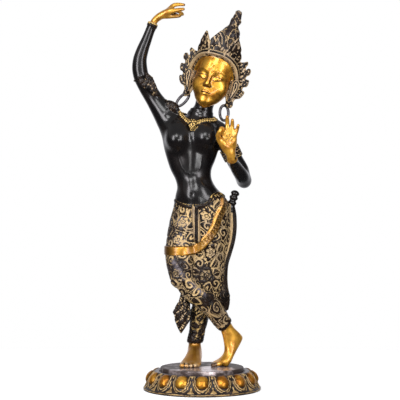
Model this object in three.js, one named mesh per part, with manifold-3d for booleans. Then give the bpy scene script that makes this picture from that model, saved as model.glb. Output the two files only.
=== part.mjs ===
// A standing lady with one arm raised over the head, cast in brass, on a round foot plate and a
// lotus pedestal. Millimetres, +Z up. The origin is the centre of the pedestal's underside, and
// the figure faces -Y, so +X is on the lady's left.
import * as THREE from "three";
import { mergeVertices } from "three/addons/utils/BufferGeometryUtils.js";
import Module from "manifold-3d";

const wasm = await Module();
wasm.setup();

// Pedestal and foot plate
const PETALS = 16;
const PEDESTAL_RADIUS = 131;
const PEDESTAL_SEAT_Z = 38.4;
const PLATE_RADIUS = 93;
const PLATE_BOTTOM_Z = 38.8;
const PLATE_TOP_Z = 50;
const PLATE_EDGE = 1.6;
const GAP = 0.3;
const SOLE_Z = PLATE_TOP_Z + GAP;

// The head has a frame of its own: the face looks along -Y and the crown of the head is up
const HEAD_CENTRE = [29, -8, 694.5];
const HEAD_TILT = 16;
const HEAD_TURN = -14;
const HEAD_NOD = 5;

// The upright line that the cloth is wrapped round
const HIP_AXIS = [-4, 8];

const X = new THREE.Vector3(1, 0, 0);
const Y = new THREE.Vector3(0, 1, 0);
const vec = (x, y, z) => new THREE.Vector3(x, y, z);
const rad = THREE.MathUtils.degToRad;
const range = (count) => Array.from({ length: count }, (_, i) => i);
const bothSides = (make) => [make(-1), make(1)];

// Solids from rings of points and from three.js geometry

function manifoldOf(vertices, triangles) {
  return new wasm.Manifold(
    new wasm.Mesh({
      numProp: 3,
      vertProperties: new Float32Array(vertices),
      triVerts: new Uint32Array(triangles),
    }),
  );
}

// Rings of equal length, each anticlockwise as the next one sees it, are skinned together. Flat
// fans close both ends, or the last ring joins the first.
function skin(rings, closedLoop = false) {
  const n = rings[0].length;
  const vertices = rings.flat().flatMap((p) => [p.x, p.y, p.z]);
  const triangles = [];
  const bands = closedLoop ? rings.length : rings.length - 1;
  for (let i = 0; i < bands; i++) {
    const next = (i + 1) % rings.length;
    for (let j = 0; j < n; j++) {
      const k = (j + 1) % n;
      triangles.push(i * n + j, i * n + k, next * n + k);
      triangles.push(i * n + j, next * n + k, next * n + j);
    }
  }
  if (!closedLoop) {
    const middle = (ring) => ring.reduce((sum, p) => sum.add(p), vec(0, 0, 0)).divideScalar(n);
    const hub = vertices.length / 3;
    const top = (rings.length - 1) * n;
    vertices.push(...middle(rings[0]).toArray(), ...middle(rings.at(-1)).toArray());
    for (let j = 0; j < n; j++) {
      const k = (j + 1) % n;
      triangles.push(hub, k, j, hub + 1, top + j, top + k);
    }
  }
  return manifoldOf(vertices, triangles);
}

function fromGeometry(geometry, matrix = new THREE.Matrix4()) {
  const plain = geometry.clone().deleteAttribute("normal").deleteAttribute("uv");
  const merged = mergeVertices(plain.applyMatrix4(matrix), 1e-4);
  return manifoldOf(merged.attributes.position.array, merged.index.array);
}

const join = (solids) => solids.flat(Infinity).reduce((sum, solid) => sum.add(solid));

// The cross axes of a tube at each of its stations. The tube's width lies along `side`, as far as
// its direction lets it; a level tube has all its rings upright to Z.
function crossAxes(stations, { side = X, level = false } = {}) {
  return stations.map(([x, y, z], i) => {
    const before = stations[Math.max(i - 1, 0)];
    const after = stations[Math.min(i + 1, stations.length - 1)];
    const along = vec(after[0] - before[0], after[1] - before[1], after[2] - before[2]);
    if (level) along.set(0, 0, Math.sign(along.z));
    along.normalize();
    const wide = side.clone().addScaledVector(along, -side.dot(along)).normalize();
    return { middle: vec(x, y, z), along, wide, deep: along.clone().cross(wide) };
  });
}

// A tube through stations [x, y, z, half width, half depth]; `round` domes its start, its end or
// both.
function tube(stations, sides, { round = "", ...options } = {}) {
  const oval = ({ middle, along, wide, deep }, [, , , a, b = a], shift = 0, scale = 1) =>
    range(sides).map((j) => {
      const angle = (2 * Math.PI * (j + 0.5)) / sides;
      return middle
        .clone()
        .addScaledVector(along, shift * Math.min(a, b))
        .addScaledVector(wide, scale * a * Math.cos(angle))
        .addScaledVector(deep, scale * b * Math.sin(angle));
    });
  const axes = crossAxes(stations, options);
  const rings = axes.map((axis, i) => oval(axis, stations[i]));
  if (/start|both/.test(round)) rings.unshift(oval(axes[0], stations[0], -0.7, 0.66));
  if (/end|both/.test(round)) rings.push(oval(axes.at(-1), stations.at(-1), 0.7, 0.66));
  return skin(rings);
}

// A strip of folded cloth through stations [x, y, z, half width, half depth], with a flat back
// and rounded ridges on its front.
function pleated(stations, ridges, options) {
  const axes = crossAxes(stations, options);
  const rings = axes.map(({ middle, wide, deep }, i) => {
    const [, , , a, b] = stations[i];
    const corner = (u, v) =>
      middle.clone().addScaledVector(wide, a * u).addScaledVector(deep, b * v);
    const front = range(2 * ridges + 1).map((j) =>
      corner(1 - j / ridges, j % 2 === 1 ? 1 : 0.25),
    );
    return [...front, corner(-1, -1.6), corner(1, -1.6)];
  });
  return skin(rings);
}

// A strap through places { point, out }: flat inside, a little crowned outside.
const STRAP_SECTION = [[0.9, -2.4], [1, 0.6], [0, 1.1], [-1, 0.6], [-0.9, -2.4]];

function strap(places, halfWidth, halfThick, closedLoop = false) {
  const n = places.length;
  const at = (i) => (closedLoop ? places[(i + n) % n] : places[Math.min(Math.max(i, 0), n - 1)]);
  const rings = places.map(({ point, out }, i) => {
    const along = at(i + 1).point.clone().sub(at(i - 1).point).normalize();
    const up = out.clone().addScaledVector(along, -out.dot(along)).normalize();
    const across = up.clone().cross(along);
    return STRAP_SECTION.map(([u, v]) =>
      point.clone().addScaledVector(across, u * halfWidth).addScaledVector(up, v * halfThick),
    );
  });
  return skin(rings, closedLoop);
}

function ball([x, y, z], [a, b, c], { detail = 8, turn = [0, 0, 0] } = {}) {
  const matrix = new THREE.Matrix4().compose(
    vec(x, y, z),
    new THREE.Quaternion().setFromEuler(new THREE.Euler(...turn.map(rad))),
    vec(a, b, c),
  );
  const rows = Math.max(4, Math.round(detail * 0.6));
  return fromGeometry(new THREE.SphereGeometry(1, detail, rows).rotateX(Math.PI / 2), matrix);
}

// The spot where a line towards `target` from well outside first meets a solid.
function surfaceOf(solid) {
  const mesh = meshOf("surface", solid, new THREE.MeshBasicMaterial());
  const caster = new THREE.Raycaster();
  const reach = 400;
  return (target, from) => {
    const toward = target.clone().sub(from).normalize();
    caster.set(target.clone().addScaledVector(toward, -reach), toward);
    const [hit] = caster.intersectObject(mesh);
    if (!hit) throw new Error("nothing to lie on at " + target.toArray());
    return { point: hit.point, out: hit.face.normal.clone() };
  };
}

function meshOf(name, solid, material) {
  const { vertProperties, triVerts } = solid.getMesh();
  const geometry = new THREE.BufferGeometry()
    .setAttribute("position", new THREE.BufferAttribute(vertProperties, 3))
    .setIndex(new THREE.BufferAttribute(triVerts, 1));
  geometry.computeVertexNormals();
  const mesh = new THREE.Mesh(geometry, material);
  mesh.name = name;
  return mesh;
}

// The pedestal's outline from the seat's edge over the petals down to the foot: [radius, height,
// how far a petal swells there]
const PETAL_PROFILE = [
  [94.5, PEDESTAL_SEAT_Z, 0],
  [96, 42, 0],
  [104, 42.4, 0.6],
  [112, 38.5, 2],
  [118, 31.5, 5],
  [121.5, 24, 6.4],
  [122.5, 17, 5],
  [124.5, 10.5, 1],
  [PEDESTAL_RADIUS, 5, 0],
  [PEDESTAL_RADIUS, 0, 0],
];

function lotusPedestal() {
  const perPetal = 4;
  const columns = PETALS * perPetal;
  const rows = PETAL_PROFILE.map(([radius, height, swell]) =>
    range(columns).map((i) => {
      const bulge = 1.25 * Math.sin((Math.PI * (i % perPetal)) / perPetal) ** 2 - 0.5;
      const angle = ((i - perPetal / 2) / columns) * 2 * Math.PI - Math.PI / 2;
      const reach = radius + swell * bulge;
      return vec(reach * Math.cos(angle), reach * Math.sin(angle), height);
    }),
  );
  return skin(rows.reverse());
}

function footPlate() {
  const outline = [
    [0, PLATE_BOTTOM_Z],
    [PLATE_RADIUS - PLATE_EDGE, PLATE_BOTTOM_Z],
    [PLATE_RADIUS, PLATE_BOTTOM_Z + PLATE_EDGE],
    [PLATE_RADIUS, PLATE_TOP_Z - PLATE_EDGE],
    [PLATE_RADIUS - PLATE_EDGE, PLATE_TOP_Z],
    [0, PLATE_TOP_Z],
  ].map(([radius, height]) => new THREE.Vector2(radius, height));
  const upright = new THREE.Matrix4().makeRotationX(Math.PI / 2);
  return fromGeometry(new THREE.LatheGeometry(outline, 40), upright);
}

// The trunk and the neck

function torso() {
  const trunk = tube(
    [
      [-9, 8, 612, 25, 20],
      [-17, 7, 602, 47, 27],
      [-24, 5, 585, 61, 36],
      [-26, 4, 560, 62.5, 41],
      [-24, 3, 534, 60.5, 40],
      [-24, 1, 511, 54, 37],
      [-24.5, -1, 489, 45.5, 34],
      [-18.5, -2, 467, 40.6, 32.5],
      [-12, -2, 450, 43.5, 35],
      [-6, 0, 433, 53, 41],
      [-1, 3, 412, 61, 47],
      [-1, 6, 385, 64, 50],
    ],
    16,
    { level: true },
  );
  const breasts = [
    ball([-56, -31, 556], [26, 27, 26], { detail: 10 }),
    ball([9, -31, 559], [26, 27, 26], { detail: 10 }),
  ];
  // Three fine rolls run round the neck.
  const neck = tube(
    [
      [-6, 8, 594, 28, 25],
      [-2.4, 6.6, 605, 24, 24],
      [-1, 6, 609, 25.4, 25],
      [0, 5.6, 612, 23, 23],
      [1, 5.2, 616, 24.6, 24.4],
      [1.6, 5, 619, 22.2, 22.4],
      [2.6, 4.6, 623, 23.8, 23.6],
      [3.4, 4.2, 627, 21.6, 22],
      [12, 2, 655, 24, 25],
    ],
    10,
    { level: true },
  );
  return [trunk, breasts, neck];
}

// The arms, with each jewelled band as a swelling of the arm itself

function raisedArm() {
  const arm = tube(
    [
      [-46, 5, 566, 24, 26],
      [-65, 6, 588, 30, 28],
      [-72, 6, 599, 27, 26.4],
      [-75, 6, 604, 28, 27.5],
      [-84, 6, 615, 26.8, 26.4],
      [-87, 6, 619, 23.6, 23.4],
      [-105, 6, 645, 19.7, 19.5],
      [-126, 5, 678, 18.4, 18.4],
      [-128.4, 5, 682, 20.4, 20.4],
      [-136, 4, 696, 20, 20],
      [-137.6, 4, 700, 18, 18],
      [-140.4, 3, 716, 17.6, 17.6],
      [-139.4, 1, 736, 15.4, 15.6],
      [-133, -1, 757, 13.6, 14],
      [-124, -3, 779.5, 12.2, 12.4],
      [-115, -5, 802, 10.4, 10.6],
      [-113, -5.4, 806, 12.8, 12.8],
      [-110, -6, 813, 12.8, 12.8],
      [-108.6, -6.4, 817, 9.6, 9.6],
    ],
    10,
  );
  const elbowLeaf = tube(
    [
      [-124, -13, 704, 2, 2],
      [-117, -14, 688, 9, 4],
      [-109, -13, 670, 10, 4],
      [-101, -12, 655, 3, 2.4],
    ],
    6,
    { side: vec(0.8, 0, 0.5) },
  );
  const shoulderLeaf = tube(
    [
      [-84, -6, 644, 3, 2],
      [-76, -9, 637, 10, 5],
      [-64, -10, 628, 12, 6],
      [-54, -9, 618, 6, 4],
    ],
    6,
    { side: vec(0.6, 0, 0.8) },
  );
  return [arm, elbowLeaf, shoulderLeaf];
}

function bentArm() {
  const upper = tube(
    [
      [12, 6, 584, 22, 24],
      [36, 8, 577, 21.5, 23],
      [53, 12, 551, 19.5, 21],
      [59, 14, 541, 19.2, 20],
      [61, 14.6, 537, 22, 23],
      [71, 17.4, 516, 21.6, 22],
      [73, 18, 512, 19, 19.6],
      [86, 21, 492, 19.4, 19],
      [95, 24, 469, 18.4, 18.4],
    ],
    10,
    { round: "end" },
  );
  const forearm = tube(
    [
      [95, 25, 468, 17.4, 17],
      [88, -2, 477, 17, 16.6],
      [76, -32, 491, 13.6, 13.2],
      [68.6, -52, 501, 11, 10.6],
      [67.6, -55, 502.5, 12.8, 12.2],
      [65.6, -60.6, 506, 12.8, 12],
      [64.4, -65, 510, 10.4, 9.4],
    ],
    10,
  );
  const armCrest = ball([52, 13, 556], [13, 21, 15], { turn: [0, -28, 0] });
  return [upper, forearm, armCrest];
}

// The hands: each finger is a row of stations [x, y, z, radius]

const finger = (stations) => tube(stations, 5, { round: "end" });

function raisedHand() {
  const palm = tube(
    [
      [-111, -6, 813, 9, 8.6],
      [-103, -7, 822.5, 9.4, 8],
      [-91, -8, 831.5, 11.5, 7.2],
      [-79, -9, 838.5, 15, 7.2],
      [-69, -10, 843.5, 17, 6.6],
      [-64, -10, 845, 15, 5.4],
    ],
    8,
    { side: Y },
  );
  const fingers = [
    [[-71, -20, 846, 4.6], [-59, -21, 857, 4.4], [-48, -20, 857, 3.8], [-40, -19, 856, 3]],
    [[-69, -9, 845, 4.8], [-56, -9, 848.5, 4.4], [-46, -9, 849.5, 3.8], [-40, -9, 850, 3]],
    [[-70, 1, 843, 4.8], [-58, 2, 845, 4.2], [-48, 1, 841, 3.7], [-43, -2, 836, 3.2]],
    [[-72, 8, 839, 4.4], [-62, 9, 838, 3.8], [-53, 7, 833, 3.2], [-51, 3, 829, 2.8]],
    [[-92, -15, 829, 5.6], [-79, -20, 827, 5], [-61, -20, 827, 4.4], [-50, -15, 829.5, 4.2],
      [-44.5, -6, 837, 3.4]],
  ];
  return [palm, fingers.map(finger)];
}

function gestureHand() {
  const palm = tube(
    [
      [64.5, -66, 508, 10, 9],
      [62, -68.5, 523, 11.5, 9.4],
      [58.5, -70, 537, 17, 9.6],
      [56.5, -70.5, 552, 20.5, 8.4],
      [56, -71, 566, 19.5, 7.2],
      [56.5, -71, 575, 17, 5.2],
    ],
    8,
  );
  const fingers = [
    [[56, -71, 571, 5], [55, -72, 586, 4.6], [55, -76, 597, 4.1], [54.4, -81, 603, 3.4]],
    [[64.5, -71, 570, 4.8], [65.8, -72, 582, 4.4], [66, -76, 591, 3.8], [66, -80, 596, 3.2]],
    [[72, -70, 564, 4.6], [76, -71, 574, 4], [78, -74, 581, 3.5], [78.8, -77, 585, 3]],
    [[46, -72, 568, 5], [43.5, -81, 577, 4.6], [41, -90, 576, 4.1], [38.5, -94, 570, 3.5]],
    [[46, -72, 540, 7], [37.5, -79, 553, 5.8], [34.5, -85, 562, 4.9], [36.5, -90, 569, 4]],
  ];
  return [palm, fingers.map(finger)];
}

// Hips, legs and the draped cloth

function legs() {
  const crossingThigh = tube(
    [
      [-26, 6, 400, 24, 30],
      [-37, -1, 362, 37, 43],
      [-43, -13, 318, 37.5, 37],
      [-47, -24, 290, 33, 32],
      [-47.5, -31, 264, 27.5, 28],
      [-47, -34, 246, 23.6, 24],
      [-44, -33, 232, 16, 18],
    ],
    12,
    { level: true, round: "end" },
  );
  const crossingShin = tube(
    [
      [-40, -34, 246, 21, 24],
      [-18, -27, 219, 25, 24],
      [14, -12, 192.5, 29, 23],
      [36, 4, 164, 22.5, 20],
      [42, 9.4, 153, 19.8, 18.6],
      [44, 10.8, 151, 21.2, 20],
      [51, 15, 143.5, 20.2, 19],
      [53, 16.4, 141, 16, 15.6],
    ],
    12,
    { side: Y },
  );
  const standingLeg = tube(
    [
      [33, 12, 392, 30, 40],
      [30, 18, 340, 32, 40],
      [22, 27, 285, 31, 34],
      [11, 34, 226, 26, 27],
      [4, 38, 190, 23, 24],
      [-4, 41, 170, 22.6, 22.6],
      [-7, 43, 148, 20, 20.6],
      [-11, 45.4, 125, 17.6, 19],
      [-13.4, 46.4, 113, 17.2, 18.6],
      [-14.2, 46.6, 110, 19, 20],
      [-15.8, 47.2, 101, 18.4, 19.4],
      [-16.4, 47.6, 97, 15.5, 16.6],
    ],
    12,
    { level: true },
  );
  return [crossingThigh, crossingShin, standingLeg];
}

function skirt() {
  const body = tube(
    [
      [-1, 4, 409, 60.5, 46],
      [-3, 7, 389, 65, 51],
      [-5, 8, 366, 68, 54],
      [-6, 8, 344, 70, 53],
      [-8.5, 8, 318, 68.5, 50],
      [-11, 8, 292, 64, 46],
      [-7, 8, 266, 57, 42],
      [2, 8, 240, 45, 36],
      [10, 9, 214, 33, 28],
      [15, 11, 196, 23, 20],
    ],
    16,
    { level: true },
  );
  const buttocks = bothSides((s) => ball([-2 + 33 * s, 30, 364], [37, 39, 42], { detail: 10 }));
  return [body, buttocks];
}

// Places on the wrapped cloth under a smooth line through rough points [x, y, z], seen from the
// hip's axis.
function wrapped(surface, line, count, closedLoop = false) {
  const curve = new THREE.CatmullRomCurve3(line.map((p) => vec(...p)), closedLoop);
  return range(count).map((i) => {
    const rough = curve.getPoint(i / (closedLoop ? count : count - 1));
    const axis = vec(...HIP_AXIS, rough.z);
    const { point } = surface(axis, rough);
    return { point, out: point.clone().sub(axis).normalize() };
  });
}

function waistband(surface) {
  const line = [
    [-60, -8, 420],
    [-44, -34, 410],
    [-20, -45, 407],
    [2, -44, 409],
    [14, -42, 415],
    [24, -38, 430],
    [40, -28, 437],
    [52, -8, 431],
    [54, 16, 426],
    [36, 38, 422],
    [0, 46, 418],
    [-40, 38, 418],
    [-58, 16, 420],
  ];
  return strap(wrapped(surface, line, 16, true), 4.2, 3.4, true);
}

// The gilded sash, from the lady's left hip across both thighs and round behind.
function sash(surface) {
  const line = [
    [52, -20, 424],
    [51, -28, 408],
    [44, -44, 383],
    [36, -50, 361],
    [24, -54, 345],
    [9, -56, 331],
    [-9, -56, 317],
    [-26, -56, 311],
    [-48, -50, 310],
    [-70, -32, 310],
    [-78, -4, 311],
    [-74, 26, 316],
    [-50, 52, 326],
    [-14, 60, 342],
    [24, 58, 366],
    [50, 40, 392],
    [60, 14, 414],
  ];
  return strap(wrapped(surface, line, 26), 9.6, 4.4);
}

// The ribbed knot on the hip and the pleated fall that hangs from it.
function sashFall() {
  const knot = tube(
    [
      [64, 12, 398, 9],
      [67, 12, 413, 9.4],
      [68, 12, 417, 7.4],
      [69, 12, 421.5, 9.6],
      [70.4, 12, 425.5, 7.8],
      [72, 12, 430.5, 10.2],
      [74, 12, 438, 9],
    ],
    8,
    { round: "end" },
  );
  const fall = pleated(
    [
      [65, 12, 414, 7, 5],
      [67, 8, 384, 11, 6],
      [67, 6, 355, 11, 6],
      [64, 5, 333, 11, 6],
      [56, 4, 304, 11, 6],
      [49.5, 4, 283, 11, 6],
      [46, 5, 254, 12, 6],
      [46.5, 7, 225, 13, 6.5],
      [49, 9, 203, 16, 7],
      [52, 12, 196, 12, 6],
      [54, 14, 176, 5, 4],
    ],
    4,
    { side: vec(0.8, 0.6, 0) },
  );
  return [knot, fall];
}

// The pleats that hang in front from the waist to the sash.
function frontPleats() {
  return pleated(
    [
      [-16, -40, 408, 6, 5],
      [-14, -46, 388, 7, 6],
      [-12, -48, 360, 7.4, 6],
      [-11, -48, 332, 6, 6],
    ],
    2,
    { side: X },
  );
}

// The pointed kerchief behind the bent knee: [x, z] of its outline.
const KERCHIEF_OUTLINE = [
  [-30, 226],
  [-27, 198],
  [-26.6, 153],
  [-31.3, 147],
  [-40.3, 133],
  [-47, 123.5],
  [-53.7, 135.5],
  [-60.5, 153],
  [-61.5, 164],
  [-65, 171],
  [-58.2, 184.6],
  [-49.2, 200],
  [-44, 226],
];

function kerchief() {
  const thick = 7;
  const outline = new THREE.Shape(KERCHIEF_OUTLINE.map(([x, z]) => new THREE.Vector2(x, z)));
  const plate = new THREE.ExtrudeGeometry(outline, { depth: thick, bevelEnabled: false });
  const upright = new THREE.Matrix4()
    .makeTranslation(0, 12, 0)
    .multiply(new THREE.Matrix4().makeRotationX(Math.PI / 2));
  const fold = pleated(
    [
      [-37, 4, 226, 6, 4],
      [-42, 5, 196, 9, 4.6],
      [-46, 5, 168, 12, 4.6],
      [-46.6, 5, 146, 7, 4],
    ],
    2,
    { side: X },
  );
  return [fromGeometry(plate, upright), fold];
}

// Raised roses on the cloth: [x, y, z, radius], with x, y and z only roughly on it.
const ROSES = [
  [-44, -40, 374, 14],
  [-48, -40, 334, 13],
  [9, -50, 387, 13],
  [26, -50, 306, 14],
  [-42, -40, 262, 13],
  [9, -40, 257, 16],
  [34, -20, 184, 17],
  [-60, 30, 350, 14],
  [56, 40, 330, 14],
  [-20, 60, 372, 15],
  [20, 60, 322, 15],
  [-34, 56, 290, 14],
  [4, 60, 262, 14],
];

function roses(surface) {
  const height = 5;
  return ROSES.map(([x, y, z, radius]) => {
    const { point, out } = surface(vec(...HIP_AXIS, z), vec(x, y, z));
    const turn = new THREE.Quaternion().setFromUnitVectors(Y, out);
    const matrix = new THREE.Matrix4().compose(point, turn, vec(1, 1, 1));
    return fromGeometry(new THREE.CylinderGeometry(radius * 0.6, radius, height, 7), matrix);
  });
}

// The feet

function raisedHeelFoot() {
  const heading = vec(-0.88, -0.47, 0);
  const heel = tube(
    [
      [50, 14, 148, 14, 14],
      [56, 17.5, 135, 16.5, 13.6],
      [64, 21, 123, 21.5, 14],
      [70, 24, 114, 25, 14],
      [68.4, 23.4, 102, 22, 14],
      [63.5, 20.8, 87, 16.5, 15],
      [57.5, 17.6, 72, 13, 17],
      [53, 15, 62, 11.6, 18],
      [51, 14, 55, 8, 15],
    ],
    8,
    { side: heading, level: true },
  );
  const forefoot = tube(
    [
      [57, 17, 66, 17, 9],
      [46, 11, 61.5, 18, 7],
      [37, 6, 58, 17, 5.4],
    ],
    8,
    { side: vec(0.47, -0.88, 0) },
  );
  const toes = range(5).map((i) => {
    const radius = i === 0 ? 4.8 : 4.1 - i * 0.2;
    const start = vec(39, 7, 57.6).addScaledVector(vec(0.47, -0.88, 0), (2 - i) * 7);
    const tip = start.clone().addScaledVector(heading, 13 - 1.2 * i);
    return finger([
      [start.x, start.y, start.z, radius],
      [tip.x, tip.y, SOLE_Z + 3.6, radius * 0.86],
    ]);
  });
  return [heel, forefoot, toes];
}

function flatFoot() {
  const foot = tube(
    [
      [-14, 76, 60, 8, 7],
      [-14.4, 70, 64, 14, 15],
      [-15, 60, 70, 15, 22],
      [-16, 49, 74, 15.6, 26],
      [-17.4, 32, 70, 17, 21],
      [-19.4, 14, 64, 19.6, 14.6],
      [-21.4, -2, 59, 22, 10],
      [-22.4, -9, 56.5, 21.6, 6.6],
    ],
    10,
  );
  const ankle = tube(
    [
      [-16, 48, 104, 14, 15],
      [-17, 48, 84, 13.4, 15],
      [-16.6, 48, 66, 15, 17],
    ],
    8,
    { level: true },
  );
  const toes = [
    [-38.5, -17, 6],
    [-28.2, -18, 4.8],
    [-19.4, -16, 4.4],
    [-11, -12, 4.2],
    [-3.4, -7, 4],
  ].map(([x, tip, radius]) =>
    finger([
      [x * 0.95 - 1, 4, 57, radius],
      [x, tip + 2, 54.4, radius * 0.9],
    ]),
  );
  return [foot, ankle, toes];
}

const floorBlock = () =>
  fromGeometry(
    new THREE.BoxGeometry(300, 300, 40),
    new THREE.Matrix4().makeTranslation(0, 0, SOLE_Z - 20),
  );

// The collar and the ear rings

function collar() {
  const line = [
    [-60, -2, 633],
    [-50, -24, 611],
    [-36, -37, 594],
    [-20, -41, 585],
    [0, -36, 590],
    [22, -26, 597],
    [34, -2, 601],
    [20, 26, 612],
    [-10, 34, 622],
    [-42, 24, 634],
  ];
  const middle = vec(-12, 0, 600);
  const places = line.map(([x, y, z]) => ({
    point: vec(x, y, z),
    out: vec(x, y, z).sub(middle).normalize(),
  }));
  const pendant = ball([-21, -43, 580], [9, 5, 9]);
  return [strap(places, 6, 4, true), pendant];
}

function earRings() {
  const ring = (centre, wide, tall, lean) =>
    fromGeometry(
      new THREE.TorusGeometry(1, 0.26, 5, 10),
      new THREE.Matrix4().compose(
        vec(...centre),
        new THREE.Quaternion().setFromEuler(new THREE.Euler(rad(90), 0, rad(lean))),
        vec(wide, tall, 12),
      ),
    );
  return [ring([-43, -4, 646], 8, 19, -43), ring([49, -20, 615], 9.6, 17, 0)];
}

// The face and the crown, in the head's own frame

function face() {
  const mask = tube(
    [
      [0, -34, -66, 10, 9],
      [0, -30, -60, 20, 18],
      [0, -20, -46, 32, 29],
      [0, -10, -26, 40, 40],
      [0, -3, 0, 44, 46.5],
      [0, 0, 24, 43.5, 48],
      [0, 2, 44, 38, 44],
      [0, 4, 58, 26, 32],
    ],
    12,
    { level: true },
  );
  const nose = tube(
    [
      [0, -46, 10, 3, 3],
      [0, -51, -6, 3, 3],
      [0, -55, -17, 4, 4],
      [0, -53, -22, 6.4, 5],
      [0, -47, -26, 5, 3],
    ],
    6,
  );
  const eyes = bothSides((s) =>
    ball([17 * s, -42, -1], [9.5, 5.4, 4.2], { detail: 6, turn: [0, 0, 14 * s] }),
  );
  const lips = [
    ball([0, -46, -35.5], [10, 4.4, 2.6], { detail: 6 }),
    ball([0, -44.5, -40], [8.4, 4.8, 2.9], { detail: 6 }),
  ];
  const ears = bothSides((s) =>
    tube(
      [
        [45 * s, 4, 8, 4, 6],
        [48 * s, 4, 0, 4.6, 9],
        [47 * s, 1, -16, 4, 6.4],
        [46 * s, -2, -34, 4.4, 5],
        [44 * s, -4, -50, 3.6, 4],
      ],
      6,
      { round: "both" },
    ),
  );
  return [mask, nose, eyes, lips, ears];
}

// A flame-shaped plate standing on the XZ plane: swollen sides that close to a point.
function leafPlate(width, height, thick) {
  const side = [
    [0.3, 0],
    [0.5, 0.26],
    [0.34, 0.52],
    [0.24, 0.6],
    [0.12, 0.84],
  ].map(([x, z]) => new THREE.Vector2(x * width, z * height));
  const mirrored = side.map(({ x, y }) => new THREE.Vector2(-x, y)).reverse();
  return standingPlate([...side, new THREE.Vector2(0, height), ...mirrored], thick);
}

function standingPlate(outline, thick) {
  const plate = new THREE.ExtrudeGeometry(new THREE.Shape(outline), {
    depth: thick,
    bevelEnabled: false,
  });
  return plate.translate(0, 0, -thick / 2).rotateX(Math.PI / 2);
}

// Where a crown leaf stands: turned round the head by `around` and leaning outwards by `lean`.
function onCrown(around, lean, radius, foot) {
  return new THREE.Matrix4()
    .makeTranslation(0, 4, foot)
    .multiply(new THREE.Matrix4().makeRotationZ(rad(around)))
    .multiply(new THREE.Matrix4().makeTranslation(0, -radius, 0))
    .multiply(new THREE.Matrix4().makeRotationX(rad(lean)));
}

function crownBand() {
  const half = [
    [27, -43, 43],
    [43, -28, 25],
    [48, -16, 2],
    [48, 6, -14],
    [30, 43, -4],
  ];
  const line = [
    [0, -51, 47],
    ...half,
    [0, 55, 2],
    ...half.map(([x, y, z]) => [-x, y, z]).reverse(),
  ];
  const places = line.map(([x, y, z]) => ({ point: vec(x, y, z), out: vec(x, y, 14).normalize() }));
  return strap(places, 5.5, 4, true);
}

// The flaming wing beside the ear, as [across, height]; the other side mirrors it.
const WING_OUTLINE = [
  [42, -50],
  [59, -50],
  [58, -38],
  [62, -27],
  [74, -20],
  [70, -6],
  [79, 6],
  [73, 20],
  [75, 35],
  [66, 34],
  [66, 48],
  [54, 40],
  [40, 52],
];
const WING_Y = -14;

function wing(side) {
  const outline = WING_OUTLINE.map(([x, z]) => new THREE.Vector2(x * side, z));
  const ordered = side > 0 ? outline : outline.reverse();
  return fromGeometry(
    standingPlate(ordered, 5),
    new THREE.Matrix4().makeTranslation(0, WING_Y, 0),
  );
}

function crown() {
  const leaves = [
    [0, 2, 47, 42, 58, 58],
    [-49, 7, 50, 40, 40, 54],
    [49, 7, 50, 40, 40, 54],
  ].map(([around, lean, radius, foot, width, height]) =>
    fromGeometry(leafPlate(width, height, 5), onCrown(around, lean, radius, foot)),
  );
  const hairCap = ball([0, 8, 12], [48, 50, 55], { detail: 10 });
  const topknot = tube(
    [
      [0, 20, 50, 30, 30],
      [0, 23, 78, 21, 21],
      [2, 26, 98, 21.5, 21],
      [3, 27, 111, 18, 17.5],
      [4, 28, 123, 9.8, 10],
      [6, 30, 134, 11.5, 11.5],
      [6, 32, 143, 8.4, 8.4],
      [6, 34, 153, 7, 7],
    ],
    10,
    { round: "end", level: true },
  );
  return [leaves, crownBand(), hairCap, topknot, bothSides(wing)];
}

function head() {
  const frame = new THREE.Matrix4()
    .makeTranslation(...HEAD_CENTRE)
    .multiply(new THREE.Matrix4().makeRotationY(rad(HEAD_TILT)))
    .multiply(new THREE.Matrix4().makeRotationZ(rad(HEAD_TURN)))
    .multiply(new THREE.Matrix4().makeRotationX(rad(HEAD_NOD)));
  return join([face(), crown()]).transform(frame.elements);
}

function figure() {
  const cloth = join([torso(), legs(), skirt()]);
  const surface = surfaceOf(cloth);
  const draped = [waistband(surface), sash(surface), frontPleats(), sashFall(), roses(surface)];
  const arms = [raisedArm(), bentArm(), raisedHand(), gestureHand()];
  const below = [kerchief(), raisedHeelFoot(), flatFoot()];
  return join([cloth, draped, arms, below, collar(), earRings(), head()]).subtract(floorBlock());
}

const darkBrass = new THREE.MeshStandardMaterial({
  color: 0x17120f,
  roughness: 0.24,
  metalness: 0.6,
});
const plateBrass = new THREE.MeshStandardMaterial({
  color: 0x2a2422,
  roughness: 0.34,
  metalness: 0.7,
});
const gildedBrass = new THREE.MeshStandardMaterial({
  color: 0x9a6a1c,
  roughness: 0.32,
  metalness: 0.9,
});

const statue = new THREE.Group();
statue.add(meshOf("figure", figure(), darkBrass));
statue.add(meshOf("foot_disc", footPlate(), plateBrass));
statue.add(meshOf("lotus_base", lotusPedestal(), gildedBrass));

export default statue;
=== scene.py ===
# A standing lady with one arm raised, cast in brass, lacquered black and partly gilded, on a round
# plate and a lotus pedestal. Sizes are in millimetres; the meshes are turned into metres at the
# end. The figure is one smooth distance field, meshed once, with its low relief worked into the
# mesh afterwards.
import math

import bpy
import numpy as np
from mathutils import Matrix, Vector
from mathutils.kdtree import KDTree


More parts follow.
